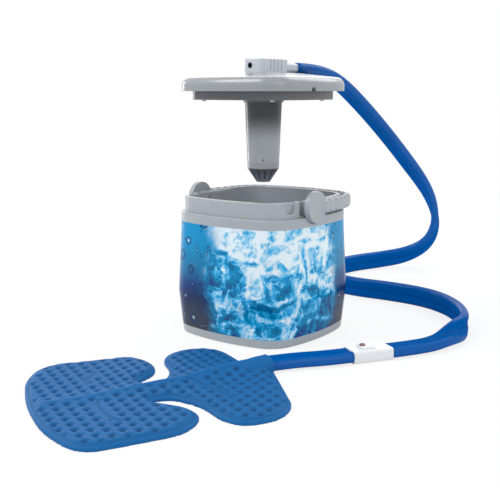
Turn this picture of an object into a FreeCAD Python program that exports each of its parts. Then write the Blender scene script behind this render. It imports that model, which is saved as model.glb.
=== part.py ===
"""Cold-water therapy cooler: a rounded-square insulated bucket, its bail handle, a lid that carries a
submersible pump, a flat twin-bore hose with a quick coupling, and a dimpled therapy pad.

Millimetres, +Z up.  The origin is on the surface that the cooler stands on, at the middle of the bucket.
-Y is the front, and the hose leaves the lid over the back, +Y.  The lid is held up, clear of the bucket.
"""
import FreeCAD, Part
import math
import os
import re
import Sketcher

SIZES = {
    # bucket: half widths are from the middle to the middle of a bulged side
    "foot_height": 1.0,
    "base_top": 14.0,
    "base_wall": 2.5,
    "base_edge_radius": 3.0,
    "crease_height": 65.0,
    "band_bottom": 170.0,
    "band_height": 14.0,
    "step_height": "=band_bottom + band_height",
    "rim_height": 23.0,
    "rim_top": "=step_height + rim_height",
    "band_half": 106.0,
    "base_inset": 1.5,
    "base_half": "=band_half - base_inset",
    "shell_bottom_half": "=band_half",
    "crease_bulge": 5.5,
    "crease_half": "=band_half + crease_bulge",
    "rim_inset": 6.0,
    "rim_half": "=band_half - rim_inset",
    "mouth_inset": 6.0,
    "mouth_half": "=rim_half - mouth_inset",
    "band_wall": 3.0,
    "corner_radius": 45.0,
    "side_radius": 300.0,
    "shell_wall": 3.0,
    "label_thickness": 0.55,
    "film_gap": 0.1,
    "liner_wall": 2.2,
    "liner_floor": 40.0,
    "liner_taper": 6.0,
    "liner_bottom_half": "=mouth_half - liner_taper",
    "fit_gap": 0.5,
    "overcut": 1.0,
    "foam_drop": 5.0,
    "foam_top": "=band_bottom - foam_drop",
    "boss_radius": 4.5,
    "boss_height": 10.0,
    "screw_radius": 1.6,
    "screw_head_radius": 3.2,
    "screw_head_height": 2.0,
    "thread_gap": 0.05,
    "base_screw_inset": 48.0,
    "base_screw_place": "=band_half - base_screw_inset",
    "foot_inset": 32.0,
    "foot_place": "=band_half - foot_inset",
    "foot_radius": 9.0,
    "foot_seat_depth": 1.2,
    "edge_radius": 1.5,
    # rim details
    "ledge_reach": 5.5,
    "ledge_inner": "=mouth_half - ledge_reach",
    "ledge_front": -72.0,
    "ledge_back": 40.0,
    "ledge_rise": 2.0,
    "ledge_bottom": "=step_height + ledge_rise",
    "scoop_place": -61.0,
    "scoop_width": 22.0,
    "scoop_rise": 6.0,
    "scoop_bottom": "=step_height + scoop_rise",
    "scoop_depth": 11.0,
    "scoop_backing": 5.0,
    "slot_place": -38.0,
    "slot_width": 12.0,
    "slot_depth": 8.5,
    # handle
    "pivot_place": -20.0,
    "pivot_drop": 9.0,
    "pivot_height": "=rim_top - pivot_drop",
    "pivot_pin_radius": 3.5,
    "pivot_boss_radius": 4.7,
    "pivot_gap": 0.06,
    "hub_radius": 22.5,
    "hub_thickness": 8.0,
    "hub_clearance": 1.4,
    "hub_seat_drop": 2.7,
    "bail_gap": 4.5,
    "bail_inner_half": "=rim_half + bail_gap",
    "bail_thickness": 11.5,
    "bail_height": 20.0,
    "bail_edge_radius": 5.5,
    "arm_start": 8.0,
    "arm_ramp": 9.0,
    "dimple_radius": 5.0,
    "dimple_depth": 2.2,
    "dimple_pitch": 15.7,
    "dimple_start": 4.7,
    # lid, held up
    "lid_travel": 161.0,
    "skirt_wall": 3.0,
    "skirt_gap": 0.4,
    "skirt_half": "=rim_half + skirt_gap + skirt_wall",
    "skirt_drop": 9.0,
    "lid_edge_height": 20.0,
    "lid_shoulder_radius": 12.0,
    "crown_height": 6.0,
    "crown_inset": 58.4,
    "crown_half": "=skirt_half - crown_inset",
    "crown_corner": 20.0,
    "gasket_thickness": 1.2,
    "gasket_overhang": 1.0,
    "gasket_inner_half": "=mouth_half - gasket_overhang",
    "seal_gap": 0.3,
    "plug_gap": 7.5,
    "plug_half": "=mouth_half - plug_gap",
    "plug_drop": 12.5,
    "plug_wall": 2.5,
    "lid_plate": 3.0,
    "lid_cavity_inset": 9.0,
    "lid_cavity_half": "=rim_half - lid_cavity_inset",
    "scallop_radius": 5.6,
    "lid_screw_inset": 44.0,
    "lid_screw_place": "=band_half - lid_screw_inset",
    "lid_boss_radius": 4.5,
    # pump head on the lid
    "head_place": 3.0,
    "head_half_width": 18.0,
    "head_front": -31.0,
    "head_back": 36.0,
    "head_height": 20.5,
    "head_corner": 8.0,
    "head_wall": 2.5,
    "head_edge_radius": 2.0,
    "groove_depth": 1.0,
    "groove_width": 2.4,
    "groove_pitch": 9.0,
    "groove_count": 4,
    "head_screw_width": 11.6,
    "head_screw_inset": 9.0,
    "head_screw_length": 8.0,
    "head_boss_radius": 3.0,
    "jack_place": -4.0,
    "jack_height": 10.5,
    "jack_radius": 4.2,
    "jack_bore_radius": 2.75,
    "jack_pin_radius": 1.0,
    "jack_length": 15.0,
    "board_thickness": 1.6,
    "board_width": 12.0,
    "board_length": 18.0,
    "board_shift": 3.0,
    "chip_length": 6.0,
    "chip_height": 3.0,
    "can_radius": 2.2,
    "can_height": 7.0,
    # outlet and tubes
    "outlet_place": 6.0,
    "outlet_length": 24.0,
    "outlet_inset": 2.0,
    "outlet_width": 28.0,
    "outlet_height": 12.5,
    "outlet_axis_height": 8.5,
    "outlet_edge_radius": 4.0,
    "port_spacing": 11.0,
    "tube_radius": 4.0,
    "tube_bore": 2.6,
    "tube_bend": 9.0,
    "tube_circle": 15.6,
    # pump column
    "column_top_radius": 27.5,
    "column_low_radius": 23.4,
    "column_length": 100.5,
    "column_wall": 2.2,
    "column_flange": 4.0,
    "collar_height": 3.5,
    "collar_wall": 2.2,
    "nose_seam_height": 9.0,
    "nose_length": 20.0,
    "nose_tip_radius": 10.0,
    "nose_slot_count": 12,
    "nose_slot_width": 2.0,
    "vent_radius": 1.3,
    "vent_turn": -53.0,
    "screen_wall": 1.0,
    "screen_height": 10.0,
    "screen_hole_radius": 1.2,
    "screen_hole_pitch": 4.0,
    "volute_radius": 20.0,
    "volute_wall": 2.2,
    "volute_height": 15.0,
    "impeller_radius": 12.5,
    "impeller_height": 7.0,
    "vane_count": 6,
    "vane_thickness": 1.4,
    "eye_radius": 5.0,
    "motor_radius": 11.0,
    "motor_length": 42.0,
    "shaft_radius": 1.6,
    "shaft_gap": 0.05,
    # hose, coupling and pad
    "hose_width": 34.0,
    "hose_thickness": 15.0,
    "twist_radius": 8.5,
    "clear_gap": 0.3,
    "hose_lead": 42.0,
    "hose_grid": 1.0,
    "coupling_x": 226.0,
    "coupling_y": -16.0,
    "coupling_turn": -121.0,
    "seal_section_radius": 0.55,
    "coupling_edge_radius": 4.0,
    "coupling_width": 34.0,
    "coupling_height": 17.0,
    "plug_length": 23.0,
    "socket_length": 36.0,
    "spigot_length": 12.0,
    "spigot_radius": 4.2,
    "spigot_gap": 0.2,
    "hump_length": 20.0,
    "hump_width": 20.0,
    "hump_rise": 3.6,
    "button_radius": 4.0,
    "button_rise": 1.8,
    "button_gap": 0.08,
    "button_travel": 1.5,
    "button_depth": 4.5,
    "bush_wall": 1.2,
    "bush_seat": 0.8,
    "dish_depth": 0.5,
    "pad_x": 128.0,
    "pad_y": -168.0,
    "pad_turn": -105.0,
    "pad_grid": 1.0,
    "pad_thickness": 9.0,
    "pad_edge_radius": 3.0,
    "inlet_turn": -121.0,
    "boot_length": 16.0,
    "boot_overlap": 14.0,
    "boot_width": 37.0,
    "boot_height": 18.5,
    "boot_edge_radius": 5.0,
    "pad_dimple_turn": -37.0,
    "pad_dimple_pitch": 34.0,
    "pad_dimple_row": 20.0,
    "pad_dimple_lean": -5.0,
    "pad_dimple_radius": 5.5,
    "pad_dimple_floor": 2.0,
    "pad_dimple_depth": 3.5,
    "pad_dimple_margin": 14.0,
    "pad_dimple_gap": 1.5,
}

DOC = FreeCAD.newDocument("cold_therapy_cooler")
SHEET = DOC.addObject("Spreadsheet::Sheet", "Sizes")
for row, (alias, value) in enumerate(SIZES.items(), start=1):
    SHEET.set(f"A{row}", alias)
    SHEET.set(f"B{row}", str(value))
    SHEET.setAlias(f"B{row}", alias)
DOC.recompute()

WORD = re.compile(r"[a-z][a-z_]+")
PARTS = []
X_AXIS = FreeCAD.Vector(1, 0, 0)
Z_AXIS = FreeCAD.Vector(0, 0, 1)
NEAR = 0.01


def bound(formula):
    """The formula in the words that an expression needs."""
    return WORD.sub(lambda hit: "Sizes." + hit.group() if hit.group() in SIZES else hit.group(), formula)


def size(formula):
    """The formula's value in millimetres."""
    return float(SHEET.evalExpression(bound(str(formula))))


def bind(thing, name, formula):
    """Ties a property to the sheet."""
    thing.setExpression(name, bound(str(formula)))


# Heights that follow from the sizes, as formulas.
SKIRT_BOTTOM = "(rim_top - skirt_drop + lid_travel)"
LID_EDGE_TOP = f"({SKIRT_BOTTOM} + lid_edge_height)"
LID_TOP = f"({LID_EDGE_TOP} + crown_height)"
JACK_HEIGHT = f"({LID_TOP} + jack_height)"
LID_UNDERSIDE = "(rim_top + seal_gap + gasket_thickness + lid_travel)"
PLATE_BOTTOM = f"({LID_EDGE_TOP} - lid_plate)"
PLUG_BOTTOM = f"({SKIRT_BOTTOM} - plug_drop)"
HEAD_TOP = f"({LID_TOP} + head_height)"
OUTLET_HEIGHT = f"({LID_TOP} + outlet_axis_height)"
TUBE_END = "(head_back - head_wall - outlet_inset - film_gap)"
COLUMN_BOTTOM = f"({PLUG_BOTTOM} - column_length)"
NOSE_SEAM = f"({COLUMN_BOTTOM} + nose_seam_height)"
NOSE_TIP = f"({COLUMN_BOTTOM} - nose_length)"
VOLUTE_BOTTOM = f"({COLUMN_BOTTOM} + fit_gap)"
VOLUTE_TOP = f"({VOLUTE_BOTTOM} + volute_height)"
COLUMN_TOP = f"({PLUG_BOTTOM} + plug_wall + column_flange)"
BOSS_TOP = "(base_top + shell_wall + boss_height)"
HUB_FACE = "(bail_inner_half - side_radius + sqrt(side_radius^2 - pivot_place^2))"


# ------------------------------------------------------------------ general makers

def vector(x, y, z):
    return FreeCAD.Vector(x, y, z)


def keep(thing, name):
    """Names a finished sub-part and lists it for export."""
    thing.Label = name
    PARTS.append(thing)
    return thing


def new_body(name):
    return DOC.addObject("PartDesign::Body", name + "_body")


def plane_of(body, role):
    return next(face for face in body.Origin.OriginFeatures if face.Role == role)


def new_sketch(body, name, role="XY_Plane", offset="0"):
    """A sketch on one of the body's own planes, moved along the plane's normal."""
    sketch = body.newObject("Sketcher::SketchObject", name)
    sketch.AttachmentSupport = [(plane_of(body, role), "")]
    sketch.MapMode = "FlatFace"
    bind(sketch, "AttachmentOffset.Base.z", offset)
    return sketch


def corner_centre(half, side, corner):
    """Where a corner arc's centre is, on the diagonal, so that it touches both side arcs."""
    reach = side - half
    return (-reach + math.sqrt(2.0 * (side - corner) ** 2 - reach ** 2)) / 2.0


def bulged_square(sketch, half, corner):
    """Four large side arcs and four corner arcs, tangent all round."""
    side_value, half_value, corner_value = size("side_radius"), size(half), size(corner)
    away = side_value - half_value
    middle = corner_centre(half_value, side_value, corner_value)
    lean = math.atan2(middle, away + middle)
    up = FreeCAD.Vector(0, 0, 1)
    quarter = math.pi / 2.0
    for turn in range(4):
        angle = turn * quarter
        centre = FreeCAD.Vector(-away * math.cos(angle), -away * math.sin(angle), 0)
        flat = Part.ArcOfCircle(Part.Circle(centre, up, side_value), angle - lean, angle + lean)
        sketch.addGeometry(flat, False)
        diagonal = angle + quarter / 2.0
        spot = FreeCAD.Vector(math.cos(diagonal), math.sin(diagonal), 0) * (middle * math.sqrt(2.0))
        bend = Part.ArcOfCircle(Part.Circle(spot, up, corner_value), angle + lean, angle + quarter - lean)
        sketch.addGeometry(bend, False)
    for piece in range(8):
        sketch.addConstraint(Sketcher.Constraint("Tangent", piece, 2, (piece + 1) % 8, 1))
    for turn, (word, first, second) in enumerate((
            ("DistanceX", (0, 3), (-1, 1)), ("DistanceY", (2, 3), (-1, 1)),
            ("DistanceX", (-1, 1), (4, 3)), ("DistanceY", (-1, 1), (6, 3)))):
        axis = -1 if turn % 2 == 0 else -2
        sketch.addConstraint(Sketcher.Constraint("PointOnObject", 2 * turn, 3, axis))
        number = sketch.addConstraint(Sketcher.Constraint(word, *first, *second, away))
        bind(sketch, f"Constraints[{number}]", f"side_radius - ({half})")
        number = sketch.addConstraint(Sketcher.Constraint("Radius", 2 * turn, side_value))
        bind(sketch, f"Constraints[{number}]", "side_radius")
        number = sketch.addConstraint(Sketcher.Constraint("Radius", 2 * turn + 1, corner_value))
        bind(sketch, f"Constraints[{number}]", corner)


def corner_for(half):
    """The corner radius that keeps an outline parallel to the band's."""
    return f"corner_radius - (band_half - ({half}))"


def square_sketch(body, name, height, half, corner=None):
    sketch = new_sketch(body, name, offset=height)
    bulged_square(sketch, half, corner or corner_for(half))
    return sketch


def square_pad(body, name, bottom, top, half):
    """A straight bulged-square block between two heights."""
    pad = body.newObject("PartDesign::Pad", name)
    pad.Profile = square_sketch(body, name + "_outline", bottom, half)
    bind(pad, "Length", f"({top}) - ({bottom})")
    return pad


def square_pocket(body, name, bottom, top, half):
    """A bulged-square hollow between two heights."""
    pocket = body.newObject("PartDesign::Pocket", name)
    pocket.Profile = square_sketch(body, name + "_outline", bottom, half)
    pocket.Reversed = True
    bind(pocket, "Length", f"({top}) - ({bottom})")
    return pocket


def square_loft(body, name, sections, cut=False):
    """Ruled walls through bulged squares, each a height, a half width and perhaps its own corner radius."""
    sketches = [square_sketch(body, f"{name}_{place}", *section) for place, section in enumerate(sections)]
    kind = "PartDesign::SubtractiveLoft" if cut else "PartDesign::AdditiveLoft"
    loft = body.newObject(kind, name)
    loft.Profile = sketches[0]
    loft.Sections = sketches[1:]
    loft.Ruled = True
    return loft


def circle_sketch(body, name, role, offset, x, y, radius):
    """One circle on a plane, placed by its two distances from the plane's axes."""
    sketch = new_sketch(body, name, role, offset)
    centre = FreeCAD.Vector(size(x), size(y), 0)
    sketch.addGeometry(Part.Circle(centre, FreeCAD.Vector(0, 0, 1), size(radius)), False)
    number = sketch.addConstraint(Sketcher.Constraint("Radius", 0, size(radius)))
    bind(sketch, f"Constraints[{number}]", radius)
    for word, spot in (("DistanceX", x), ("DistanceY", y)):
        number = sketch.addConstraint(Sketcher.Constraint(word, -1, 1, 0, 3, size(spot)))
        bind(sketch, f"Constraints[{number}]", spot)
    return sketch


def round_edges(body, name, radius, test):
    """Rounds the edges of the body's shape whose middle passes the test."""
    DOC.recompute()
    last = body.Tip
    names = [f"Edge{place}" for place, edge in enumerate(body.Shape.Edges, start=1) if test(edge)]
    fillet = body.newObject("PartDesign::Fillet", name)
    fillet.Base = (last, names)
    bind(fillet, "Radius", radius)
    body.Tip = fillet
    return fillet


def diagonal_reach(half):
    """How far an outline's rounded corner reaches from the Z axis."""
    corner = size(corner_for(half))
    return corner_centre(size(half), size("side_radius"), corner) * math.sqrt(2.0) + corner


def level_edge(height, half=None):
    """A test for edges that lie flat at one height, and at or outside one half width if it is given."""
    def test(edge):
        box = edge.BoundBox
        flat = abs(box.ZMin - size(height)) < NEAR and abs(box.ZMax - size(height)) < NEAR
        if not flat or half is None:
            return flat
        spot = edge.valueAt((edge.FirstParameter + edge.LastParameter) / 2.0)
        on_side = abs(max(abs(spot.x), abs(spot.y)) - size(half)) < NEAR
        return on_side or abs(math.hypot(spot.x, spot.y) - diagonal_reach(half)) < NEAR
    return test


def primitive(kind, name, place, **sizes):
    """A Part primitive with its sizes and its place tied to the sheet."""
    thing = DOC.addObject("Part::" + kind, name)
    for prop, formula in sizes.items():
        bind(thing, prop, formula)
    for axis, formula in zip("xyz", place):
        bind(thing, f"Placement.Base.{axis}", formula)
    return thing


def box(name, low, high):
    """A block between two corners, each three formulas."""
    spans = [f"({top}) - ({bottom})" for bottom, top in zip(low, high)]
    return primitive("Box", name, low, Length=spans[0], Width=spans[1], Height=spans[2])


def rod(name, place, radius, length, axis="z"):
    """A cylinder from a place, along +X, +Y or +Z."""
    thing = primitive("Cylinder", name, place, Radius=radius, Height=length)
    turns = {"x": (FreeCAD.Vector(0, 1, 0), 90), "y": (FreeCAD.Vector(1, 0, 0), -90)}
    if axis in turns:
        thing.Placement.Rotation = FreeCAD.Rotation(*turns[axis])
    return thing


def spoke(name, reach, width, heights, angle):
    """A flat bar that points away from the Z axis, between two reaches and two heights, at an angle."""
    (inner, outer), (bottom, top) = reach, heights
    place = (f"({inner}) * cos({angle}) + ({width}) / 2 * sin({angle})",
             f"({inner}) * sin({angle}) - ({width}) / 2 * cos({angle})", bottom)
    bar = primitive("Box", name, place, Length=f"({outer}) - ({inner})", Width=width,
                    Height=f"({top}) - ({bottom})")
    bar.Placement.Rotation = FreeCAD.Rotation(Z_AXIS, angle)
    return bar


def fused(name, pieces):
    thing = DOC.addObject("Part::MultiFuse", name)
    thing.Shapes = pieces
    return thing


def cut(name, base, tool):
    thing = DOC.addObject("Part::Cut", name)
    thing.Base, thing.Tool = base, tool
    return thing


def common(name, base, tool):
    thing = DOC.addObject("Part::Common", name)
    thing.Base, thing.Tool = base, tool
    return thing


def group(name, pieces):
    """Separate like solids under one name."""
    thing = DOC.addObject("Part::Compound", name + "_set")
    thing.Links = pieces
    return keep(thing, name)


# ------------------------------------------------------------------ bucket

def four_corners(place):
    """The four (x, y) spots of a square pattern, as formulas."""
    return [(f"({x}) * ({place})", f"({y}) * ({place})") for x, y in ((1, 1), (-1, 1), (-1, -1), (1, -1))]


def foot_spots():
    """Four feet near the corners and one in the middle."""
    return four_corners("foot_place") + [("0", "0")]


def make_base_tray():
    """Shallow tray under the shell, with four posts that its screws pass through."""
    body = new_body("base_tray")
    rounding = [(f"foot_height + base_edge_radius * (1 - cos({angle}))",
                 f"base_half - base_edge_radius * (1 - sin({angle}))") for angle in (0, 30, 60, 90)]
    square_loft(body, "tray_outside", rounding + [("base_top", "shell_bottom_half")])
    square_loft(body, "tray_inside", [("foot_height + base_wall", "base_half - base_wall"),
                                      ("base_top", "shell_bottom_half - base_wall")], cut=True)
    posts, holes = [], []
    for place, (x, y) in enumerate(four_corners("base_screw_place")):
        spot = (x, y, "foot_height + base_wall / 2")
        posts.append(rod(f"tray_post_{place}", spot, "boss_radius", "base_top - foot_height - base_wall / 2"))
        low = (x, y, "foot_height - overcut")
        holes.append(rod(f"tray_hole_{place}", low, "screw_radius + thread_gap", "base_top"))
        holes.append(rod(f"tray_sink_{place}", low, "screw_head_radius + fit_gap",
                         "screw_head_height + overcut"))
    for place, (x, y) in enumerate(foot_spots()):
        spot = (x, y, "foot_height - overcut")
        holes.append(rod(f"foot_seat_{place}", spot, "foot_radius + film_gap", "foot_seat_depth + overcut"))
    whole = fused("tray_with_posts", [body] + posts)
    keep(cut("base_tray_cut", whole, fused("tray_tools", holes)), "base_tray")


def make_base_screws():
    screws = []
    for place, (x, y) in enumerate(four_corners("base_screw_place")):
        low = (x, y, "foot_height")
        head = rod(f"base_head_{place}", low, "screw_head_radius", "screw_head_height")
        shank = rod(f"base_shank_{place}", low, "screw_radius", f"{BOSS_TOP} - foot_height - 2 * fit_gap")
        screws.append(fused(f"base_screw_{place}", [head, shank]))
    group("base_screws", screws)


def make_rubber_feet():
    feet = [rod(f"foot_{place}", (x, y, "0"), "foot_radius", "foot_height + foot_seat_depth")
            for place, (x, y) in enumerate(foot_spots())]
    group("rubber_feet", feet)


def shell_sections(inset):
    """The shell's outline at its foot, its crease and the band, moved inwards."""
    return [("base_top", f"shell_bottom_half - ({inset})"), ("crease_height", f"crease_half - ({inset})"),
            ("band_bottom", f"band_half - ({inset})")]


def make_outer_shell():
    """Creased tub under the printed skin, with four screw bosses on its floor."""
    body = new_body("outer_shell")
    skin = "label_thickness + film_gap"
    square_loft(body, "shell_outside", shell_sections(skin))
    inside = shell_sections(f"{skin} + shell_wall")
    inside[0] = ("base_top + shell_wall", inside[0][1])
    square_loft(body, "shell_inside", inside, cut=True)
    bosses, holes = [], []
    for place, (x, y) in enumerate(four_corners("base_screw_place")):
        spot = (x, y, "base_top + shell_wall / 2")
        bosses.append(rod(f"shell_boss_{place}", spot, "boss_radius", "boss_height + shell_wall / 2"))
        low = (x, y, "base_top - overcut")
        holes.append(rod(f"shell_thread_{place}", low, "screw_radius + thread_gap",
                         f"{BOSS_TOP} - base_top"))
    whole = fused("shell_with_bosses", [body] + bosses)
    keep(cut("outer_shell_cut", whole, fused("shell_tools", holes)), "outer_shell")


def make_label_sleeve():
    """Thin printed skin that wraps the shell between the base tray and the band."""
    body = new_body("label_sleeve")
    square_loft(body, "label_outside", shell_sections("0"))
    square_loft(body, "label_inside", shell_sections("label_thickness"), cut=True)
    keep(body, "label_sleeve")


def liner_sections(outset):
    """The liner's cavity at its floor and at the band's top plate, moved outwards."""
    return [("liner_floor", f"liner_bottom_half + ({outset})"),
            ("rim_top - band_wall", f"mouth_half - film_gap + ({outset})")]


def side_boxes(name, side, spans):
    """A box on one side of the bucket, +1 or -1, from its spans along X, Y and Z on the +X side."""
    (x0, x1), (y0, y1), (z0, z1) = spans
    if side < 0:
        x0, x1 = f"0 - ({x1})", f"0 - ({x0})"
    mark = "right" if side > 0 else "left"
    return box(f"{name}_{mark}", (x0, y0, z0), (x1, y1, z1))


def inner_blocks(name, side, grow="0"):
    """The pin's ledge and the scoop's backing behind the rim, grown by a gap."""
    high = ("ledge_bottom - " + grow, "rim_top")
    ledge = side_boxes(name + "_ledge", side, (("ledge_inner - " + grow, "band_half"),
                                               ("ledge_front - " + grow, "ledge_back + " + grow), high))
    inner = "rim_half - scoop_depth - scoop_backing - " + grow
    wide = f"scoop_width / 2 + band_wall + {grow}"
    backing = side_boxes(name + "_backing", side, ((inner, "band_half"),
                                                   (f"scoop_place - ({wide})", f"scoop_place + {wide}"),
                                                   high))
    return [ledge, backing]


def make_inner_liner():
    """The tapering tub that holds the ice and water."""
    body = new_body("inner_liner")
    outside = liner_sections("liner_wall")
    outside[0] = ("liner_floor - liner_wall", outside[0][1])
    square_loft(body, "liner_outside", outside)
    square_loft(body, "liner_inside", liner_sections("0"), cut=True)
    rooms = inner_blocks("room", 1, "clear_gap") + inner_blocks("room", -1, "clear_gap")
    keep(cut("inner_liner_cut", body, fused("liner_tools", rooms)), "inner_liner")


def make_insulation_foam():
    """Foam between the shell and the liner, resting on the shell's bosses."""
    body = new_body("insulation_foam")
    outside = shell_sections("label_thickness + film_gap + shell_wall + fit_gap")
    outside[0] = (f"{BOSS_TOP} + film_gap", outside[0][1])
    outside[2] = ("foam_top", outside[2][1])
    square_loft(body, "foam_outside", outside)
    outset = "liner_wall + fit_gap"
    inside = liner_sections(outset)
    inside[0] = ("liner_floor - liner_wall - film_gap", inside[0][1])
    square_loft(body, "foam_inside", inside, cut=True)
    keep(body, "insulation_foam")


def hub_side_tools(side):
    """What is added to and cut from the band on one side, +1 or -1, for the handle's hub."""
    mark = "right" if side > 0 else "left"
    hub = ("pivot_place", "pivot_height")

    def across(name, start, length, radius, spot=hub):
        first = start if side > 0 else f"0 - ({start}) - ({length})"
        return rod(f"{name}_{mark}", (first, *spot), radius, length, axis="x")

    seat_face = "band_half - hub_seat_drop"
    seat = across("hub_seat", f"{seat_face} - band_wall", "band_wall", "hub_radius + 2 * hub_clearance")
    under = side_boxes("seat_limit", side, (("0", "band_half"), ("ledge_front", "ledge_back"),
                                            ("band_bottom", "step_height")))
    seat_low = common(f"hub_seat_low_{mark}", seat, under)
    boss_start = "rim_half - band_wall / 2"
    boss = across("pivot_boss", boss_start, f"{HUB_FACE} - clear_gap - ({boss_start})", "pivot_boss_radius")
    notch = across("hub_notch", seat_face, "band_half", "hub_radius + hub_clearance")
    bore = across("pin_bore", "ledge_inner - overcut", "band_half", "pivot_pin_radius")
    radius, deep = "scoop_width / 2", "rim_half - scoop_depth"
    scoop_round = across("scoop_round", deep, "band_half", radius,
                         ("scoop_place", f"scoop_bottom + {radius}"))
    scoop_open = side_boxes("scoop_open", side, ((deep, "2 * band_half"),
                                                 (f"scoop_place - {radius}", f"scoop_place + {radius}"),
                                                 (f"scoop_bottom + {radius}", "rim_top + overcut")))
    slot = side_boxes("hub_slot", side, (("rim_half - slot_depth", "2 * band_half"),
                                         ("slot_place - slot_width / 2", "slot_place + slot_width / 2"),
                                         ("step_height + band_wall", "rim_top + overcut")))
    return seat_low, boss, [notch, scoop_round, scoop_open, slot], bore


def make_rim_band():
    """Stepped grey band round the mouth, with ledges, hub notches and finger scoops on both sides."""
    body = new_body("rim_band")
    square_pad(body, "band_low", "band_bottom", "step_height", "band_half")
    square_pad(body, "band_high", "step_height", "rim_top", "rim_half")
    round_edges(body, "rim_edge", "edge_radius", level_edge("rim_top"))
    round_edges(body, "step_edge", "edge_radius", level_edge("step_height", "band_half"))
    square_pocket(body, "band_low_inside", "band_bottom", "step_height - band_wall", "band_half - band_wall")
    square_pocket(body, "band_high_inside", "step_height - band_wall", "rim_top - band_wall",
                  "rim_half - band_wall")
    square_pocket(body, "mouth", "rim_top - band_wall", "rim_top", "mouth_half")
    limit = new_body("ledge_limit")
    square_pad(limit, "ledge_outline", "band_bottom", "rim_top - edge_radius", "rim_half - band_wall / 2")
    blocks = fused("inner_blocks", inner_blocks("rim", 1) + inner_blocks("rim", -1))
    ledges = common("ledges", blocks, limit)
    right, left = hub_side_tools(1), hub_side_tools(-1)
    filled = fused("band_filled", [body, ledges, right[0], left[0]])
    carved = cut("band_carved", filled, fused("band_tools", right[2] + left[2]))
    bossed = fused("band_bossed", [carved, right[1], left[1]])
    keep(cut("rim_band_cut", bossed, fused("band_bores", [right[3], left[3]])), "rim_band")


def make_pivot_pins():
    """Two steel pins pressed into the band, on which the handle swings."""
    start = "ledge_inner + fit_gap"
    length = f"bail_inner_half + hub_thickness / 2 - ({start})"
    pins = []
    for side, mark in ((1, "right"), (-1, "left")):
        first = start if side > 0 else f"0 - ({start}) - ({length})"
        spot = (first, "pivot_place", "pivot_height")
        pins.append(rod(f"pin_{mark}", spot, "pivot_pin_radius", length, axis="x"))
    group("pivot_pins", pins)


# ------------------------------------------------------------------ handle

def dimple_spots():
    """Dimple places (x, y) and directions along the bail's middle line, from a hub to the crossbar."""
    half = size("bail_inner_half + bail_thickness / 2")
    side = size("side_radius")
    corner = size(corner_for("bail_inner_half + bail_thickness / 2"))
    middle = corner_centre(half, side, corner)
    away = side - half
    lean = math.atan2(middle, away + middle)
    first = math.asin(size("pivot_place + hub_radius + dimple_start") / side)
    step = size("dimple_pitch")
    quarter = math.pi / 2.0
    spots = []
    angle = first
    while angle < quarter:
        if angle < lean:
            x, y, turn = side * math.cos(angle) - away, side * math.sin(angle), step / side
        elif angle < quarter - lean:
            x, y, turn = middle + corner * math.cos(angle), middle + corner * math.sin(angle), step / corner
        else:
            x, y, turn = side * math.cos(angle), side * math.sin(angle) - away, step / side
        spots.append((x, y, angle))
        angle += turn
    return spots


def grip_dimples():
    """Round dimples in three of the bail's rounded edges: both upper ones and the lower outer one."""
    radius, edge = size("dimple_radius"), size("bail_edge_radius")
    away = (edge + radius - size("dimple_depth")) * math.sqrt(0.5) - edge
    across, up = size("bail_thickness / 2") + away, size("bail_height / 2") + away
    dimples = []
    for place, (x, y, angle) in enumerate(dimple_spots()):
        for mirror in (1, -1):
            middle = vector(mirror * x, y, size("pivot_height"))
            outward = vector(mirror * math.cos(angle), math.sin(angle), 0)
            for row, (side, level) in enumerate(((1, 1), (-1, 1), (1, -1))):
                dimple = DOC.addObject("Part::Sphere", f"dimple_{place}_{row}_{mirror + 1}")
                dimple.Radius = radius
                dimple.Placement.Base = middle + outward * side * across + Z_AXIS * level * up
                dimples.append(dimple)
    return dimples


def arm_ramps():
    """Slanting cuts on the arms' outer ends, where they rise from the hub discs."""
    rise, run = size("bail_thickness - hub_thickness + fit_gap"), size("arm_ramp")
    reach, long = size("2 * bail_thickness"), math.hypot(rise, run)
    slope = math.degrees(math.atan2(rise, run))
    ramps = []
    for side, mark in ((1, "right"), (-1, "left")):
        ramp = DOC.addObject("Part::Box", f"arm_ramp_{mark}")
        ramp.Length, ramp.Width, ramp.Height = reach, long, size("2 * bail_height")
        turn = FreeCAD.Rotation(Z_AXIS, -side * slope)
        corner = vector(side * size("bail_inner_half + hub_thickness - fit_gap"),
                        size("pivot_place + arm_start"), size("pivot_height - bail_height"))
        inward = turn.multVec(vector(reach, 0, 0)) * min(side, 0)
        ramp.Placement = FreeCAD.Placement(corner + inward, turn)
        ramps.append(ramp)
    return ramps


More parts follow.
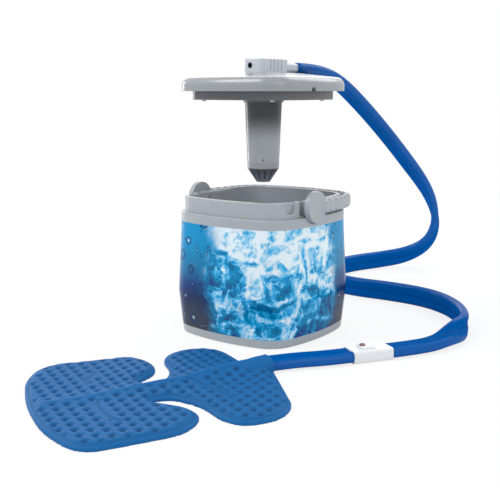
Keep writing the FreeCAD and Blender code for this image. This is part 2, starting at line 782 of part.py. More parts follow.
def make_handle():
    """The bail: two hub discs, two arms and a crossbar, with rows of dimples for grip."""
    low, high = "pivot_height - bail_height / 2", "pivot_height + bail_height / 2"
    outer = "bail_inner_half + bail_thickness"
    ring = new_body("bail_ring")
    square_pad(ring, "bail_outside", low, high, outer)
    square_pocket(ring, "bail_inside", low, high, "bail_inner_half")
    round_edges(ring, "bail_edges", "bail_edge_radius",
                lambda edge: level_edge(low)(edge) or level_edge(high)(edge))
    back = box("bail_back", (f"0 - 2 * ({outer})", "pivot_place + arm_start", low),
               (f"2 * ({outer})", f"2 * ({outer})", high))
    bail = cut("bail_arms", common("bail_half", ring, back), fused("arm_ramp_cuts", arm_ramps()))
    hubs, bores = [], []
    depth = f"bail_inner_half + hub_thickness / 2 + fit_gap - {HUB_FACE}"
    for side, mark in ((1, "right"), (-1, "left")):
        for name, start, radius, length, gather in (
                ("hub", HUB_FACE, "hub_radius", f"bail_inner_half + hub_thickness - {HUB_FACE}", hubs),
                ("hub_bore", f"{HUB_FACE} - fit_gap", "pivot_pin_radius + pivot_gap",
                 f"{depth} + fit_gap", bores)):
            first = start if side > 0 else f"0 - ({start}) - ({length})"
            spot = (first, "pivot_place", "pivot_height")
            gather.append(rod(f"{name}_{mark}", spot, radius, length, axis="x"))
    rounded = []
    for hub in hubs:
        smooth = DOC.addObject("Part::Fillet", hub.Name + "_round")
        smooth.Base = hub
        DOC.recompute()
        outermost = max(abs(edge.BoundBox.Center.x) for edge in hub.Shape.Edges)
        smooth.Edges = [(place, size("edge_radius"), size("edge_radius"))
                        for place, edge in enumerate(hub.Shape.Edges, start=1)
                        if edge.BoundBox.XLength < NEAR
                        and abs(abs(edge.BoundBox.Center.x) - outermost) < NEAR]
        rounded.append(smooth)
    solid = fused("bail_solid", [bail] + rounded)
    keep(cut("handle_bail_cut", solid, fused("bail_tools", bores + grip_dimples())), "handle_bail")


# ------------------------------------------------------------------ lid

def head_screw_spots():
    """Two screws in front and one behind, clear of the tubes."""
    left, right = "head_place - head_screw_width", "head_place + head_screw_width"
    front, back = "head_front + head_screw_inset", "head_back - head_screw_inset"
    return [(left, front), (right, front), (left, back)]


def tube_spots():
    """The supply and the return tube, on one circle inside the column."""
    reach = size("port_spacing / 2")
    return [(f"outlet_place + ({side * reach})", f"sqrt(tube_circle^2 - (outlet_place + ({side * reach}))^2)")
            for side in (1, -1)]


def make_lid_cover():
    """Crowned outer shell of the lid: skirt, rounded shoulder, top plate and screw bosses."""
    body = new_body("lid_cover")
    square_pad(body, "cover_block", SKIRT_BOTTOM, LID_EDGE_TOP, "skirt_half")
    round_edges(body, "cover_shoulder", "lid_shoulder_radius", level_edge(LID_EDGE_TOP))
    square_loft(body, "cover_crown", [(LID_EDGE_TOP, "skirt_half - lid_shoulder_radius"),
                                      (LID_TOP, "crown_half", "crown_corner")])
    square_pocket(body, "skirt_inside", SKIRT_BOTTOM, LID_UNDERSIDE, "skirt_half - skirt_wall")
    square_pocket(body, "cover_inside", LID_UNDERSIDE, PLATE_BOTTOM, "lid_cavity_half")
    bosses, tools = [], []
    low = f"{PLUG_BOTTOM} + plug_wall + film_gap"
    for place, (x, y) in enumerate(four_corners("lid_screw_place")):
        bosses.append(rod(f"cover_boss_{place}", (x, y, low), "lid_boss_radius",
                          f"{PLATE_BOTTOM} + lid_plate / 2 - ({low})"))
        tools.append(rod(f"cover_thread_{place}", (x, y, f"{low} - overcut"), "screw_radius + thread_gap",
                         f"{PLATE_BOTTOM} - ({low})"))
    span = "2 * skirt_half"
    tools.append(rod("scallops", (f"0 - {span}", "pivot_place", "pivot_height + lid_travel"),
                     "scallop_radius", f"2 * {span}", axis="x"))
    low_corner = ("outlet_place - tube_circle + tube_radius", "tube_radius", f"{PLATE_BOTTOM} - overcut")
    high_corner = ("outlet_place + port_spacing", "tube_circle + tube_radius + 2 * fit_gap",
                   f"{LID_TOP} + overcut")
    tools.append(box("tube_window", low_corner, high_corner))
    for place, (x, y) in enumerate(head_screw_spots()):
        tools.append(rod(f"head_pass_{place}", (x, y, f"{PLATE_BOTTOM} - overcut"),
                         "screw_radius + thread_gap", f"{LID_TOP} - {PLATE_BOTTOM} + 2 * overcut"))
    whole = fused("cover_with_bosses", [body] + bosses)
    keep(cut("lid_cover_cut", whole, fused("cover_tools", tools)), "lid_cover")


def make_lid_inner_panel():
    """The plug under the lid: a foam-filled cup with a collar for the pump column."""
    body = new_body("lid_inner_panel")
    square_pad(body, "plug_block", PLUG_BOTTOM, f"{PLATE_BOTTOM} - film_gap", "plug_half")
    round_edges(body, "plug_edge", "edge_radius", level_edge(PLUG_BOTTOM))
    square_pocket(body, "plug_inside", f"{PLUG_BOTTOM} + plug_wall", f"{PLATE_BOTTOM} - film_gap",
                  "plug_half - plug_wall")
    middle = ("0", "0")
    collar = rod("column_collar", (*middle, f"{PLUG_BOTTOM} - collar_height"),
                 "column_top_radius + collar_wall", "collar_height + plug_wall / 2")
    tools = [rod("column_hole", (*middle, f"{PLUG_BOTTOM} - collar_height - overcut"),
                 "column_top_radius + film_gap", "collar_height + plug_wall + 2 * overcut")]
    for place, (x, y) in enumerate(four_corners("lid_screw_place")):
        tools.append(rod(f"plug_pass_{place}", (x, y, f"{PLUG_BOTTOM} - overcut"),
                         "screw_radius + thread_gap", "plug_wall + 2 * overcut"))
    whole = fused("plug_with_collar", [body, collar])
    keep(cut("lid_inner_panel_cut", whole, fused("plug_tools", tools)), "lid_inner_panel")


def make_lid_foam():
    """Foam block that fills the plug above the column's flange."""
    body = new_body("lid_foam")
    square_pad(body, "foam_block", f"{COLUMN_TOP} + film_gap", f"{PLATE_BOTTOM} - fit_gap",
               "plug_half - plug_wall - fit_gap")
    tools = [rod("foam_middle", ("0", "0", PLUG_BOTTOM), "column_top_radius", LID_TOP)]
    for place, (x, y) in enumerate(four_corners("lid_screw_place")):
        tools.append(rod(f"foam_pass_{place}", (x, y, PLUG_BOTTOM), "lid_boss_radius + fit_gap", LID_TOP))
    for place, (x, y) in enumerate(head_screw_spots()):
        tools.append(rod(f"foam_head_pass_{place}", (x, y, f"{PLATE_BOTTOM} - screw_head_height - fit_gap"),
                         "screw_head_radius + fit_gap", "lid_plate"))
    keep(cut("lid_foam_cut", body, fused("lid_foam_tools", tools)), "lid_foam")


def make_lid_gasket():
    """Soft ring under the lid that lands on the bucket's rim."""
    body = new_body("lid_gasket")
    bottom = f"{LID_UNDERSIDE} - gasket_thickness"
    square_pad(body, "gasket_block", bottom, LID_UNDERSIDE, "skirt_half - skirt_wall - fit_gap")
    square_pocket(body, "gasket_inside", bottom, LID_UNDERSIDE, "gasket_inner_half")
    keep(body, "lid_gasket")


def make_lid_screws():
    screws = []
    for place, (x, y) in enumerate(four_corners("lid_screw_place")):
        low = (x, y, f"{PLUG_BOTTOM} - screw_head_height")
        head = rod(f"lid_head_{place}", low, "screw_head_radius", "screw_head_height")
        shank = rod(f"lid_shank_{place}", low, "screw_radius",
                    f"{PLATE_BOTTOM} - 2 * fit_gap - plug_wall - {PLUG_BOTTOM}")
        screws.append(fused(f"lid_screw_{place}", [head, shank]))
    group("lid_screws", screws)


# ------------------------------------------------------------------ pump head

def rounded_block(name, low, high, corner, edge, top_only=False):
    """A block whose upright edges and then its level edges are rounded."""
    block = box(name + "_block", low, high)
    DOC.recompute()

    def rounded(base, label, radius, test):
        names = [(place, radius, radius)
                 for place, item in enumerate(base.Shape.Edges, start=1) if test(item)]
        thing = DOC.addObject("Part::Fillet", label)
        thing.Base, thing.Edges = base, names
        DOC.recompute()
        return thing

    top = block.Shape.BoundBox.ZMax
    upright = rounded(block, name + "_upright", size(corner), lambda item: item.BoundBox.ZLength > 1.0)
    return rounded(upright, name + "_level", size(edge),
                   lambda item: item.BoundBox.ZLength < NEAR
                   and (not top_only or item.BoundBox.ZMax > top - NEAR))


def outlet_block(name, grow):
    """The outlet's outer form, grown on its sides by a gap."""
    half_wide, half_high = f"(outlet_width / 2 + {grow})", f"(outlet_height / 2 + {grow})"
    low = (f"outlet_place - {half_wide}", "head_back - head_wall - outlet_inset",
           f"{OUTLET_HEIGHT} - {half_high}")
    high = (f"outlet_place + {half_wide}", "head_back + outlet_length", f"{OUTLET_HEIGHT} + {half_high}")
    block = box(name + "_form", low, high)
    DOC.recompute()
    smooth = DOC.addObject("Part::Fillet", name + "_rounded")
    smooth.Base = block
    radius = size("outlet_edge_radius")
    smooth.Edges = [(place, radius, radius) for place, item in enumerate(block.Shape.Edges, start=1)
                    if item.BoundBox.YLength > 1.0]
    return smooth


def make_pump_head():
    """Housing on the lid, with finger grooves on its sides, the jack hole and the outlet's opening."""
    left, right = "head_place - head_half_width", "head_place + head_half_width"
    outside = rounded_block("head_outside", (left, "head_front", LID_TOP), (right, "head_back", HEAD_TOP),
                            "head_corner", "head_edge_radius", top_only=True)
    inner = rounded_block("head_inside",
                          (f"{left} + head_wall", "head_front + head_wall", f"{LID_TOP} - overcut"),
                          (f"{right} - head_wall", "head_back - head_wall", f"{HEAD_TOP} - head_wall"),
                          "head_corner - head_wall", "head_edge_radius / 2", top_only=True)
    shell = cut("head_shell", outside, inner)
    bosses, tools = [], [outlet_block("outlet_opening", "film_gap")]
    for place, (x, y) in enumerate(head_screw_spots()):
        bosses.append(rod(f"head_boss_{place}", (x, y, LID_TOP), "head_boss_radius",
                          "head_height - head_wall / 2"))
        tools.append(rod(f"head_thread_{place}", (x, y, f"{LID_TOP} - overcut"),
                         "screw_radius + thread_gap", "head_screw_length + 2 * overcut"))
    tools.append(rod("jack_hole", ("head_place + jack_place", "head_front - overcut", JACK_HEIGHT),
                     "jack_radius + film_gap", "head_wall + 2 * overcut", axis="y"))
    middle = "(head_front + head_back) / 2"
    for number in range(int(size("groove_count"))):
        shift = number - (size("groove_count") - 1) / 2.0
        for side in (left, right):
            place = f"{middle} + ({shift}) * groove_pitch"
            tools.append(box(f"groove_{number}_{len(tools)}",
                             (f"{side} - groove_depth", f"{place} - groove_width / 2",
                              f"{LID_TOP} + head_wall"),
                             (f"{side} + groove_depth", f"{place} + groove_width / 2",
                              f"{HEAD_TOP} + overcut")))
    whole = fused("head_with_bosses", [shell] + bosses)
    keep(cut("pump_head_cut", whole, fused("head_tools", tools)), "pump_head")


def make_head_screws():
    screws = []
    for place, (x, y) in enumerate(head_screw_spots()):
        low = (x, y, f"{PLATE_BOTTOM} - screw_head_height")
        head = rod(f"head_screw_head_{place}", low, "screw_head_radius", "screw_head_height")
        shank = rod(f"head_screw_shank_{place}", low, "screw_radius",
                    f"{LID_TOP} + head_screw_length - {PLATE_BOTTOM} + screw_head_height")
        screws.append(fused(f"head_screw_{place}", [head, shank]))
    group("head_screws", screws)


def make_power_jack():
    """Barrel jack in the front of the pump head: a sleeve with a centre pin."""
    front = ("head_place + jack_place", "head_front + head_edge_radius / 4", JACK_HEIGHT)
    barrel = rod("jack_barrel", front, "jack_radius", "jack_length", axis="y")
    mouth = rod("jack_mouth", ("head_place + jack_place", "head_front - overcut", JACK_HEIGHT),
                "jack_bore_radius", "jack_length - overcut", axis="y")
    pin = rod("jack_pin", ("head_place + jack_place", "head_front + head_wall", JACK_HEIGHT),
              "jack_pin_radius", "jack_length - head_wall", axis="y")
    keep(fused("power_jack_fused", [cut("jack_sleeve", barrel, mouth), pin]), "power_jack")


def make_driver_board():
    """Small circuit board on the lid's top, with its two largest components."""
    middle = "head_place - board_shift"
    left, right = f"{middle} - board_width / 2", f"{middle} + board_width / 2"
    front, top = "head_front + head_wall + jack_length + fit_gap", f"{LID_TOP} + board_thickness"
    board = box("board_plate", (left, front, LID_TOP), (right, f"{front} + board_length", top))
    chip = box("board_chip", (f"{left} + fit_gap", f"{front} + fit_gap", f"{top} - film_gap"),
               (f"{left} + fit_gap + chip_length", f"{front} + fit_gap + chip_length",
                f"{top} + chip_height"))
    can_spot = (f"{right} - can_radius - fit_gap", f"{front} + board_length - can_radius - fit_gap",
                f"{top} - film_gap")
    can = rod("board_can", can_spot, "can_radius", "can_height")
    keep(fused("driver_board_fused", [board, chip, can]), "driver_board")


def make_outlet_fitting():
    """Flat twin nozzle behind the head that the hose is pushed onto."""
    block = outlet_block("outlet_outside", "0")
    tools = [rod(f"outlet_bore_{place}", (x, "0", OUTLET_HEIGHT), "tube_bore",
                 "head_back + 2 * outlet_length", axis="y")
             for place, (x, _) in enumerate(tube_spots())]
    keep(cut("outlet_fitting_cut", block, fused("outlet_tools", tools)), "outlet_fitting")


def bent_tube_sketch(body, name, x, y, start):
    """Up from a height, a quarter bend, and back to the outlet's inner face, in a plane at x."""
    sketch = new_sketch(body, name, "YZ_Plane", x)
    across, low, high = size(y), size(start), size(OUTLET_HEIGHT)
    bend, end = size("tube_bend"), size(TUBE_END)
    up = FreeCAD.Vector(0, 0, 1)
    points = [FreeCAD.Vector(across, low, 0), FreeCAD.Vector(across, high - bend, 0),
              FreeCAD.Vector(across + bend, high, 0), FreeCAD.Vector(end, high, 0)]
    sketch.addGeometry(Part.LineSegment(points[0], points[1]), False)
    circle = Part.Circle(FreeCAD.Vector(across + bend, high - bend, 0), up, bend)
    sketch.addGeometry(Part.ArcOfCircle(circle, math.pi / 2.0, math.pi), False)
    sketch.addGeometry(Part.LineSegment(points[2], points[3]), False)
    sketch.addConstraint(Sketcher.Constraint("Vertical", 0))
    sketch.addConstraint(Sketcher.Constraint("Horizontal", 2))
    sketch.addConstraint(Sketcher.Constraint("Tangent", 0, 2, 1, 2))
    sketch.addConstraint(Sketcher.Constraint("Tangent", 1, 1, 2, 1))
    for word, geometry, point, value, formula in (
            ("DistanceX", 0, 1, across, y), ("DistanceY", 0, 1, low, start),
            ("DistanceY", 2, 2, high, OUTLET_HEIGHT), ("DistanceX", 2, 2, end, TUBE_END)):
        number = sketch.addConstraint(Sketcher.Constraint(word, -1, 1, geometry, point, value))
        bind(sketch, f"Constraints[{number}]", formula)
    number = sketch.addConstraint(Sketcher.Constraint("Radius", 1, bend))
    bind(sketch, f"Constraints[{number}]", "tube_bend")
    return sketch


def make_tube(name, spot, start):
    """One bent water tube, swept round its middle line and bored."""
    body = new_body(name)
    x, y = spot
    spine = bent_tube_sketch(body, name + "_line", x, y, start)
    for word, radius, kind in (("outside", "tube_radius", "Additive"), ("bore", "tube_bore", "Subtractive")):
        profile = circle_sketch(body, f"{name}_{word}", "XY_Plane", start, x, y, radius)
        pipe = body.newObject(f"PartDesign::{kind}Pipe", f"{name}_{word}_pipe")
        pipe.Profile = profile
        pipe.Spine = (spine, ["Edge1", "Edge2", "Edge3"])
    keep(body, name)


def make_tubes():
    supply, back = tube_spots()
    make_tube("supply_tube", supply, f"{VOLUTE_TOP} + film_gap")
    make_tube("return_tube", back, f"{VOLUTE_TOP} + motor_length / 4")


# ------------------------------------------------------------------ pump column

def turned_body(name, outline):
    """A body turned about Z from (radius, height) corners, each two formulas."""
    body = new_body(name)
    sketch = new_sketch(body, name + "_section", "XZ_Plane")
    spots = [FreeCAD.Vector(size(radius), size(height), 0) for radius, height in outline]
    count = len(spots)
    for place in range(count):
        sketch.addGeometry(Part.LineSegment(spots[place], spots[(place + 1) % count]), False)
    for place in range(count):
        sketch.addConstraint(Sketcher.Constraint("Coincident", place, 2, (place + 1) % count, 1))
    for place, (radius, height) in enumerate(outline):
        for word, formula in (("DistanceX", radius), ("DistanceY", height)):
            number = sketch.addConstraint(Sketcher.Constraint(word, -1, 1, place, 1, size(formula)))
            bind(sketch, f"Constraints[{number}]", formula)
    turn = body.newObject("PartDesign::Revolution", name + "_turn")
    turn.Profile = sketch
    turn.ReferenceAxis = (sketch, ["V_Axis"])
    turn.Angle = 360.0
    return body


def column_radius(height):
    """The tapering column's outer radius at a height, as a formula."""
    return (f"(column_low_radius + (column_top_radius - column_low_radius) * (({height}) - {COLUMN_BOTTOM})"
            " / column_length)")


def make_pump_column():
    """Tapering tube that hangs from the lid's inner panel by its flange, with a small vent hole."""
    seam, top, shelf = f"{NOSE_SEAM} + film_gap", COLUMN_TOP, f"{PLUG_BOTTOM} + plug_wall + film_gap"
    inner_low, inner_top = f"{column_radius(seam)} - column_wall", "column_top_radius - column_wall"
    body = turned_body("pump_column", [
        (column_radius(seam), seam), ("column_top_radius", PLUG_BOTTOM), ("column_top_radius", shelf),
        ("column_top_radius + column_flange", shelf), ("column_top_radius + column_flange", top),
        (inner_top, top), (inner_top, PLUG_BOTTOM), (inner_low, seam)])
    vent = rod("vent", ("0", "0", f"{NOSE_SEAM} + nose_seam_height / 2"), "vent_radius",
               "2 * column_top_radius")
    vent.Placement.Rotation = FreeCAD.Rotation(size("vent_turn"), 90, 0)
    keep(cut("pump_column_cut", body, vent), "pump_column")


def nose_inner(height):
    """The nose's inner cone radius at a height, as a formula."""
    low, high = f"({NOSE_TIP} + column_wall)", f"({VOLUTE_BOTTOM} - film_gap)"
    wide, narrow = "(volute_radius - column_wall)", "(nose_tip_radius - column_wall)"
    return f"({narrow} + ({wide} - {narrow}) * (({height}) - {low}) / ({high} - {low}))"


def make_intake_nose():
    """Slotted cone that closes the column, holds the volute and strains the water."""
    seam, shelf, floor = NOSE_SEAM, f"{VOLUTE_BOTTOM} - film_gap", f"{NOSE_TIP} + column_wall"
    body = turned_body("intake_nose", [
        ("0", NOSE_TIP), ("nose_tip_radius", NOSE_TIP), ("column_low_radius", COLUMN_BOTTOM),
        (column_radius(seam), seam), ("volute_radius + fit_gap", seam), ("volute_radius + fit_gap", shelf),
        (nose_inner(shelf), shelf), (nose_inner(floor), floor), ("0", floor)])
    count = int(size("nose_slot_count"))
    reach, heights = ("nose_tip_radius - column_wall", "2 * column_low_radius"), (
        f"{floor} + column_wall", f"{COLUMN_BOTTOM} - column_wall")
    slots = [spoke(f"nose_slot_{number}", reach, "nose_slot_width", heights, 360.0 * (number + 0.5) / count)
             for number in range(count)]
    keep(cut("intake_nose_cut", body, fused("nose_tools", slots)), "intake_nose")


def make_filter_screen():
    """Perforated disc inside the nose."""
    level = f"({NOSE_TIP} + screen_height)"
    disc = rod("screen_disc", ("0", "0", level), f"{nose_inner(level)} - film_gap", "screen_wall")
    through = "screen_wall + 2 * overcut"
    holes = [rod("screen_hole_middle", ("0", "0", f"{level} - overcut"), "screen_hole_radius", through)]
    for ring, count in ((1, 6), (2, 10)):
        for number in range(count):
            angle = 360.0 * number / count
            reach = f"({ring} * screen_hole_pitch)"
            spot = (f"{reach} * cos({angle})", f"{reach} * sin({angle})", f"{level} - overcut")
            holes.append(rod(f"screen_hole_{ring}_{number}", spot, "screen_hole_radius", through))
    keep(cut("filter_screen_cut", disc, fused("screen_tools", holes)), "filter_screen")


def make_pump_volute():
    """Round pump chamber with its eye below and the supply port above."""
    low, middle = VOLUTE_BOTTOM, ("0", "0")
    body = rod("volute_body", (*middle, low), "volute_radius", "volute_height")
    (x, y), _ = tube_spots()
    tools = [rod("volute_chamber", (*middle, f"{low} + volute_wall"), "impeller_radius + fit_gap * 2",
                 "impeller_height + 2 * fit_gap"),
             rod("volute_eye", (*middle, f"{low} - overcut"), "eye_radius", "volute_wall + 2 * overcut"),
             rod("volute_shaft_hole", (*middle, low), "shaft_radius + shaft_gap", "2 * volute_height"),
             rod("volute_port", (x, y, f"{low} + volute_wall + fit_gap"), "tube_bore", "2 * volute_height")]
    keep(cut("pump_volute_cut", body, fused("volute_tools", tools)), "pump_volute")


def make_impeller():
    """Open impeller: a hub, a thin disc and straight vanes."""
    low = f"({VOLUTE_BOTTOM} + volute_wall + fit_gap)"
    hub = rod("impeller_hub", ("0", "0", low), "eye_radius - 2 * fit_gap", "impeller_height")
    disc = rod("impeller_disc", ("0", "0", f"{low} + impeller_height - vane_thickness"), "impeller_radius",
               "vane_thickness")
    count = int(size("vane_count"))
    vanes = [spoke(f"vane_{number}", ("shaft_radius + fit_gap", "impeller_radius - fit_gap"),
                   "vane_thickness", (low, f"{low} + impeller_height - fit_gap"), 360.0 * number / count)
             for number in range(count)]
    bore = rod("impeller_bore", ("0", "0", f"{low} - overcut"), "shaft_radius",
               "impeller_height + 2 * overcut")
    keep(cut("impeller_cut", fused("impeller_solid", [hub, disc] + vanes), bore), "impeller")


def make_pump_motor():
    """Sealed motor can on the volute, and the shaft that turns the impeller."""
    can = rod("motor_can", ("0", "0", f"{VOLUTE_TOP} + film_gap"), "motor_radius", "motor_length")
    bore = rod("motor_bore", ("0", "0", VOLUTE_TOP), "shaft_radius + shaft_gap", "motor_length / 2")
    keep(cut("pump_motor_cut", can, bore), "pump_motor")
    low = f"({VOLUTE_BOTTOM} + volute_wall + fit_gap)"
    length = f"{VOLUTE_TOP} + motor_length / 2 - 2 * fit_gap - {low}"
    keep(rod("shaft_rod", ("0", "0", low), "shaft_radius", length), "motor_shaft")


# ------------------------------------------------------------------ hose

def on_floor(half_height):
    """Height of a hose's middle line when it rests on the floor."""
    return size(half_height) + size("clear_gap")


# The pump hose's points on its grid, chosen by hand.  Where it drops: y, and the fall below the outlet.
HOSE_DROP = [(122, 0), (192, 17), (285, 66.5), (372, 119.5), (445, 167.5), (509, 211.5), (553, 253.5)]
# Where it turns over: x, y and the height.  On the floor: x and y.
HOSE_TURN = [(4, 579, 93), (-14, 580, 50), (-52, 560, 25)]
HOSE_TOUCH = [(-92, 516), (-114, 457)]
HOSE_FLOOR = [(-119, 392), (-111, 340), (-84, 298), (-40, 275), (12, 269), (66, 276), (134, 273), (190, 246),
              (234, 202), (262, 154)]
HOSE_TIP_OVER = [(272, 108), (263, 62)]


def hose_route():
    """The pump hose's points from the lid's outlet to the coupling, in its five stretches."""
    plane, level, grid = size("outlet_place"), size(OUTLET_HEIGHT), size("hose_grid")
    start = size("head_back + outlet_length + clear_gap")
    edge, flat = on_floor("hose_width / 2"), on_floor("coupling_height / 2")
    fall = [vector(plane, across * grid, level - down * grid) for across, down in HOSE_DROP]
    turn = [vector(*spot) * grid for spot in HOSE_TURN]
    touch, back = ([vector(x * grid, y * grid, edge) for x, y in spots] for spots in (HOSE_TOUCH, HOSE_FLOOR))
    lower = [vector(x * grid, y * grid, height) for (x, y), height in zip(HOSE_TIP_OVER, (edge, flat))]
    front = [coupling_spot(0.0 - size("hose_lead")), coupling_spot(0.0)]
    return [[vector(plane, start, level)] + fall[:-1], fall[-1:] + turn + touch, back, lower, front]


# How much of the shorter run beside a point its arc takes up.
ARC_SHARE = 0.45


def middle_of(first, last):
    return (first + last) * 0.5


def rounded_path(route, first, last, label):
    """The route past its corners first to last: straight runs joined by the largest arcs that the runs allow.
    It begins and ends in the middle of a run, or at the route's own end."""
    here = route[0] if first == 1 else middle_of(route[first - 1], route[first])
    end = route[-1] if last == len(route) - 2 else middle_of(route[last], route[last + 1])
    edges, radii = [], []
    for before, corner, after in zip(route[first - 1:last], route[first:last + 1], route[first + 1:last + 2]):
        run_in, run_out = corner - before, after - corner
        half_turn = run_in.getAngle(run_out) / 2.0
        reach = ARC_SHARE * min(run_in.Length, run_out.Length)
        radius = reach / math.tan(half_turn)
        arc_start = corner - run_in.normalize() * reach
        arc_end = corner + run_out.normalize() * reach
        inward = (middle_of(arc_start, arc_end) - corner).normalize()
        arc_middle = corner + inward * (radius / math.cos(half_turn) - radius)
        edges.append(Part.LineSegment(here, arc_start).toShape())
        edges.append(Part.Arc(arc_start, arc_middle, arc_end).toShape())
        here = arc_end
        radii.append(round(radius))
    edges.append(Part.LineSegment(here, end).toShape())
    print(label, "bend radii", radii)
    return Part.Wire(edges)


def oval_section(at, direction, wide, width, thickness):
    """A flat oval with round ends, square to the direction."""
    wide = FreeCAD.Vector(wide).normalize()
    thin = direction.cross(wide).normalize()
    radius, reach = thickness / 2.0, (width - thickness) / 2.0

    def spot(along, across):
        return at + wide * along + thin * across

    return Part.Wire([
        Part.LineSegment(spot(-reach, radius), spot(reach, radius)).toShape(),
        Part.Arc(spot(reach, radius), spot(reach + radius, 0), spot(reach, -radius)).toShape(),
        Part.LineSegment(spot(reach, -radius), spot(-reach, -radius)).toShape(),
        Part.Arc(spot(-reach, -radius), spot(-reach - radius, 0), spot(-reach, radius)).toShape()])


def swept_tube(name, route, first, last, wide=None, binormal=None):
    """A hose stretch: a flat oval where a wide direction is given, and round where it twists."""
    path = rounded_path(route, first, last, name)
    direction = (route[first] - route[first - 1]).normalize()
    start = path.Vertexes[0].Point
    if wide is None:
        radius = size("twist_radius")
        section = Part.Wire([Part.Circle(start, direction, radius).toShape()])
        area = math.pi * radius ** 2
    else:
        width, thickness = size("hose_width"), size("hose_thickness")
        section = oval_section(start, direction, wide, width, thickness)
        area = math.pi * thickness ** 2 / 4.0 + (width - thickness) * thickness
    maker = Part.BRepOffsetAPI.MakePipeShell(path)
    if binormal is not None:
        maker.setBiNormalMode(binormal)
    maker.add(section, False, False)
    maker.build()
    maker.makeSolid()
    feature = DOC.addObject("Part::Feature", name + "_tube")
    feature.Shape = maker.shape()
    print(name, "volume over section times length", round(feature.Shape.Volume / (area * path.Length), 4))
    return keep(feature, name)


def make_pump_hose():
    """Five stretches end to end: the drop, a twist, the run on the floor, a twist, flat to the coupling."""
    stretches = hose_route()
    route = [point for stretch in stretches for point in stretch]
    flat_run = route[-2] - route[-3]
    lay = {"hose_drop": (X_AXIS, X_AXIS), "hose_floor_run": (Z_AXIS, Z_AXIS),
           "hose_coupling_end": (Z_AXIS.cross(flat_run), Z_AXIS)}
    begin = 0
    for name, stretch in zip(("hose_drop", "hose_upper_twist", "hose_floor_run", "hose_lower_twist",
                              "hose_coupling_end"), stretches):
        end = begin + len(stretch) - 1
        swept_tube(name, route, max(begin, 1), min(end, len(route) - 2), *lay.get(name, (None, None)))
        begin = end + 1


# ------------------------------------------------------------------ coupling

def coupling_spot(along):
    """A point on the coupling's middle line, at a distance from its pump end."""
    turn = math.radians(size("coupling_turn"))
    return vector(size("coupling_x") + along * math.cos(turn), size("coupling_y") + along * math.sin(turn),
                  on_floor("coupling_height / 2"))


def placed(thing):
    """Turns a coupling piece that was made along +X and sets it in its place."""
    thing.Placement = FreeCAD.Placement(coupling_spot(0.0),
                                        FreeCAD.Rotation(Z_AXIS, size("coupling_turn")))
    return thing


def coupling_block(name, start, end, wide, high, low="0 - coupling_height / 2"):
    """A housing block with rounded long edges."""
    block = box(name + "_form", (start, f"0 - ({wide}) / 2", low), (end, f"({wide}) / 2", high))
    DOC.recompute()
    smooth = DOC.addObject("Part::Fillet", name + "_rounded")
    smooth.Base = block
    radius = size("coupling_edge_radius")
    smooth.Edges = [(place, radius, radius) for place, item in enumerate(block.Shape.Edges, start=1)
                    if item.BoundBox.XLength > 1.0]
    return smooth


def port_rods(name, start, radius, length):
    """Two parallel rods at the hose's two water ways."""
    return [rod(f"{name}_{number}", (start, f"({side}) * port_spacing / 2", "0"), radius, length, axis="x")
            for number, side in enumerate((1, -1))]


SEAL_PLACE = "(plug_length + spigot_length - 4 * seal_section_radius)"
SEAL_RADIUS = "(spigot_radius + spigot_gap / 2 - seal_section_radius)"


def seal_rings(name, grow):
    """A ring round each spigot, its section grown by a gap."""
    rings = []
    for number, side in enumerate((1, -1)):
        ring = primitive("Torus", f"{name}_{number}", (SEAL_PLACE, f"({side}) * port_spacing / 2", "0"),
                         Radius1=SEAL_RADIUS, Radius2=f"seal_section_radius + {grow}")
        ring.Placement.Rotation = FreeCAD.Rotation(FreeCAD.Vector(0, 1, 0), 90)
        rings.append(ring)
    return rings


def make_coupling_plug():
    """The pump hose's half, with two grooved spigots that enter the other half."""
    block = coupling_block("plug", "0", "plug_length", "coupling_width", "coupling_height / 2")
    spigots = port_rods("plug_spigot", "plug_length / 2", "spigot_radius", "plug_length / 2 + spigot_length")
    bores = port_rods("plug_bore", "0 - overcut", "tube_bore", "plug_length + spigot_length + 2 * overcut")
    solid = fused("coupling_plug_solid", [block] + spigots)
    tools = fused("plug_tools_all", bores + seal_rings("seal_seat", "film_gap / 2"))
    keep(placed(cut("coupling_plug_cut", solid, tools)), "coupling_plug")


BUTTON_PLACE = "(plug_length + hump_length - button_radius)"
BUTTON_BOTTOM = "(coupling_height / 2 + hump_rise - button_depth)"
WELL_BOTTOM = f"({BUTTON_BOTTOM} - button_travel - bush_seat)"


def make_coupling_socket():
    """The pad hose's half, with the raised hump that holds the release button."""
    start, end = "plug_length + film_gap", "plug_length + socket_length"
    block = coupling_block("socket", start, end, "coupling_width", "coupling_height / 2")
    hump_start = "plug_length + fit_gap"
    hump = coupling_block("hump", hump_start, f"{hump_start} + hump_length", "hump_width",
                          "coupling_height / 2 + hump_rise", "0")
    tools = port_rods("socket_bore", "plug_length", "spigot_radius + spigot_gap", "spigot_length + fit_gap")
    tools += port_rods("socket_way", "plug_length", "tube_bore", "socket_length + overcut")
    tools.append(rod("button_well", (BUTTON_PLACE, "0", WELL_BOTTOM), "button_radius + button_gap",
                     "coupling_height"))
    solid = fused("coupling_socket_solid", [block, hump])
    keep(placed(cut("coupling_socket_cut", solid, fused("socket_tools", tools))), "coupling_socket")


def make_coupling_seals():
    """Rubber rings in the spigots' grooves."""
    placed(group("coupling_seals", seal_rings("seal", "0")))


def make_release_button():
    """Round thumb button in the hump, with a dished top."""
    stem = rod("button_stem", (BUTTON_PLACE, "0", BUTTON_BOTTOM), "button_radius",
               "button_depth + button_rise")
    dish_height = f"{BUTTON_BOTTOM} + button_depth + button_rise + 2 * button_radius"
    dish = primitive("Sphere", "button_dish", (BUTTON_PLACE, "0", dish_height),
                     Radius="2 * button_radius + dish_depth")
    keep(placed(cut("release_button_cut", stem, dish)), "release_button")


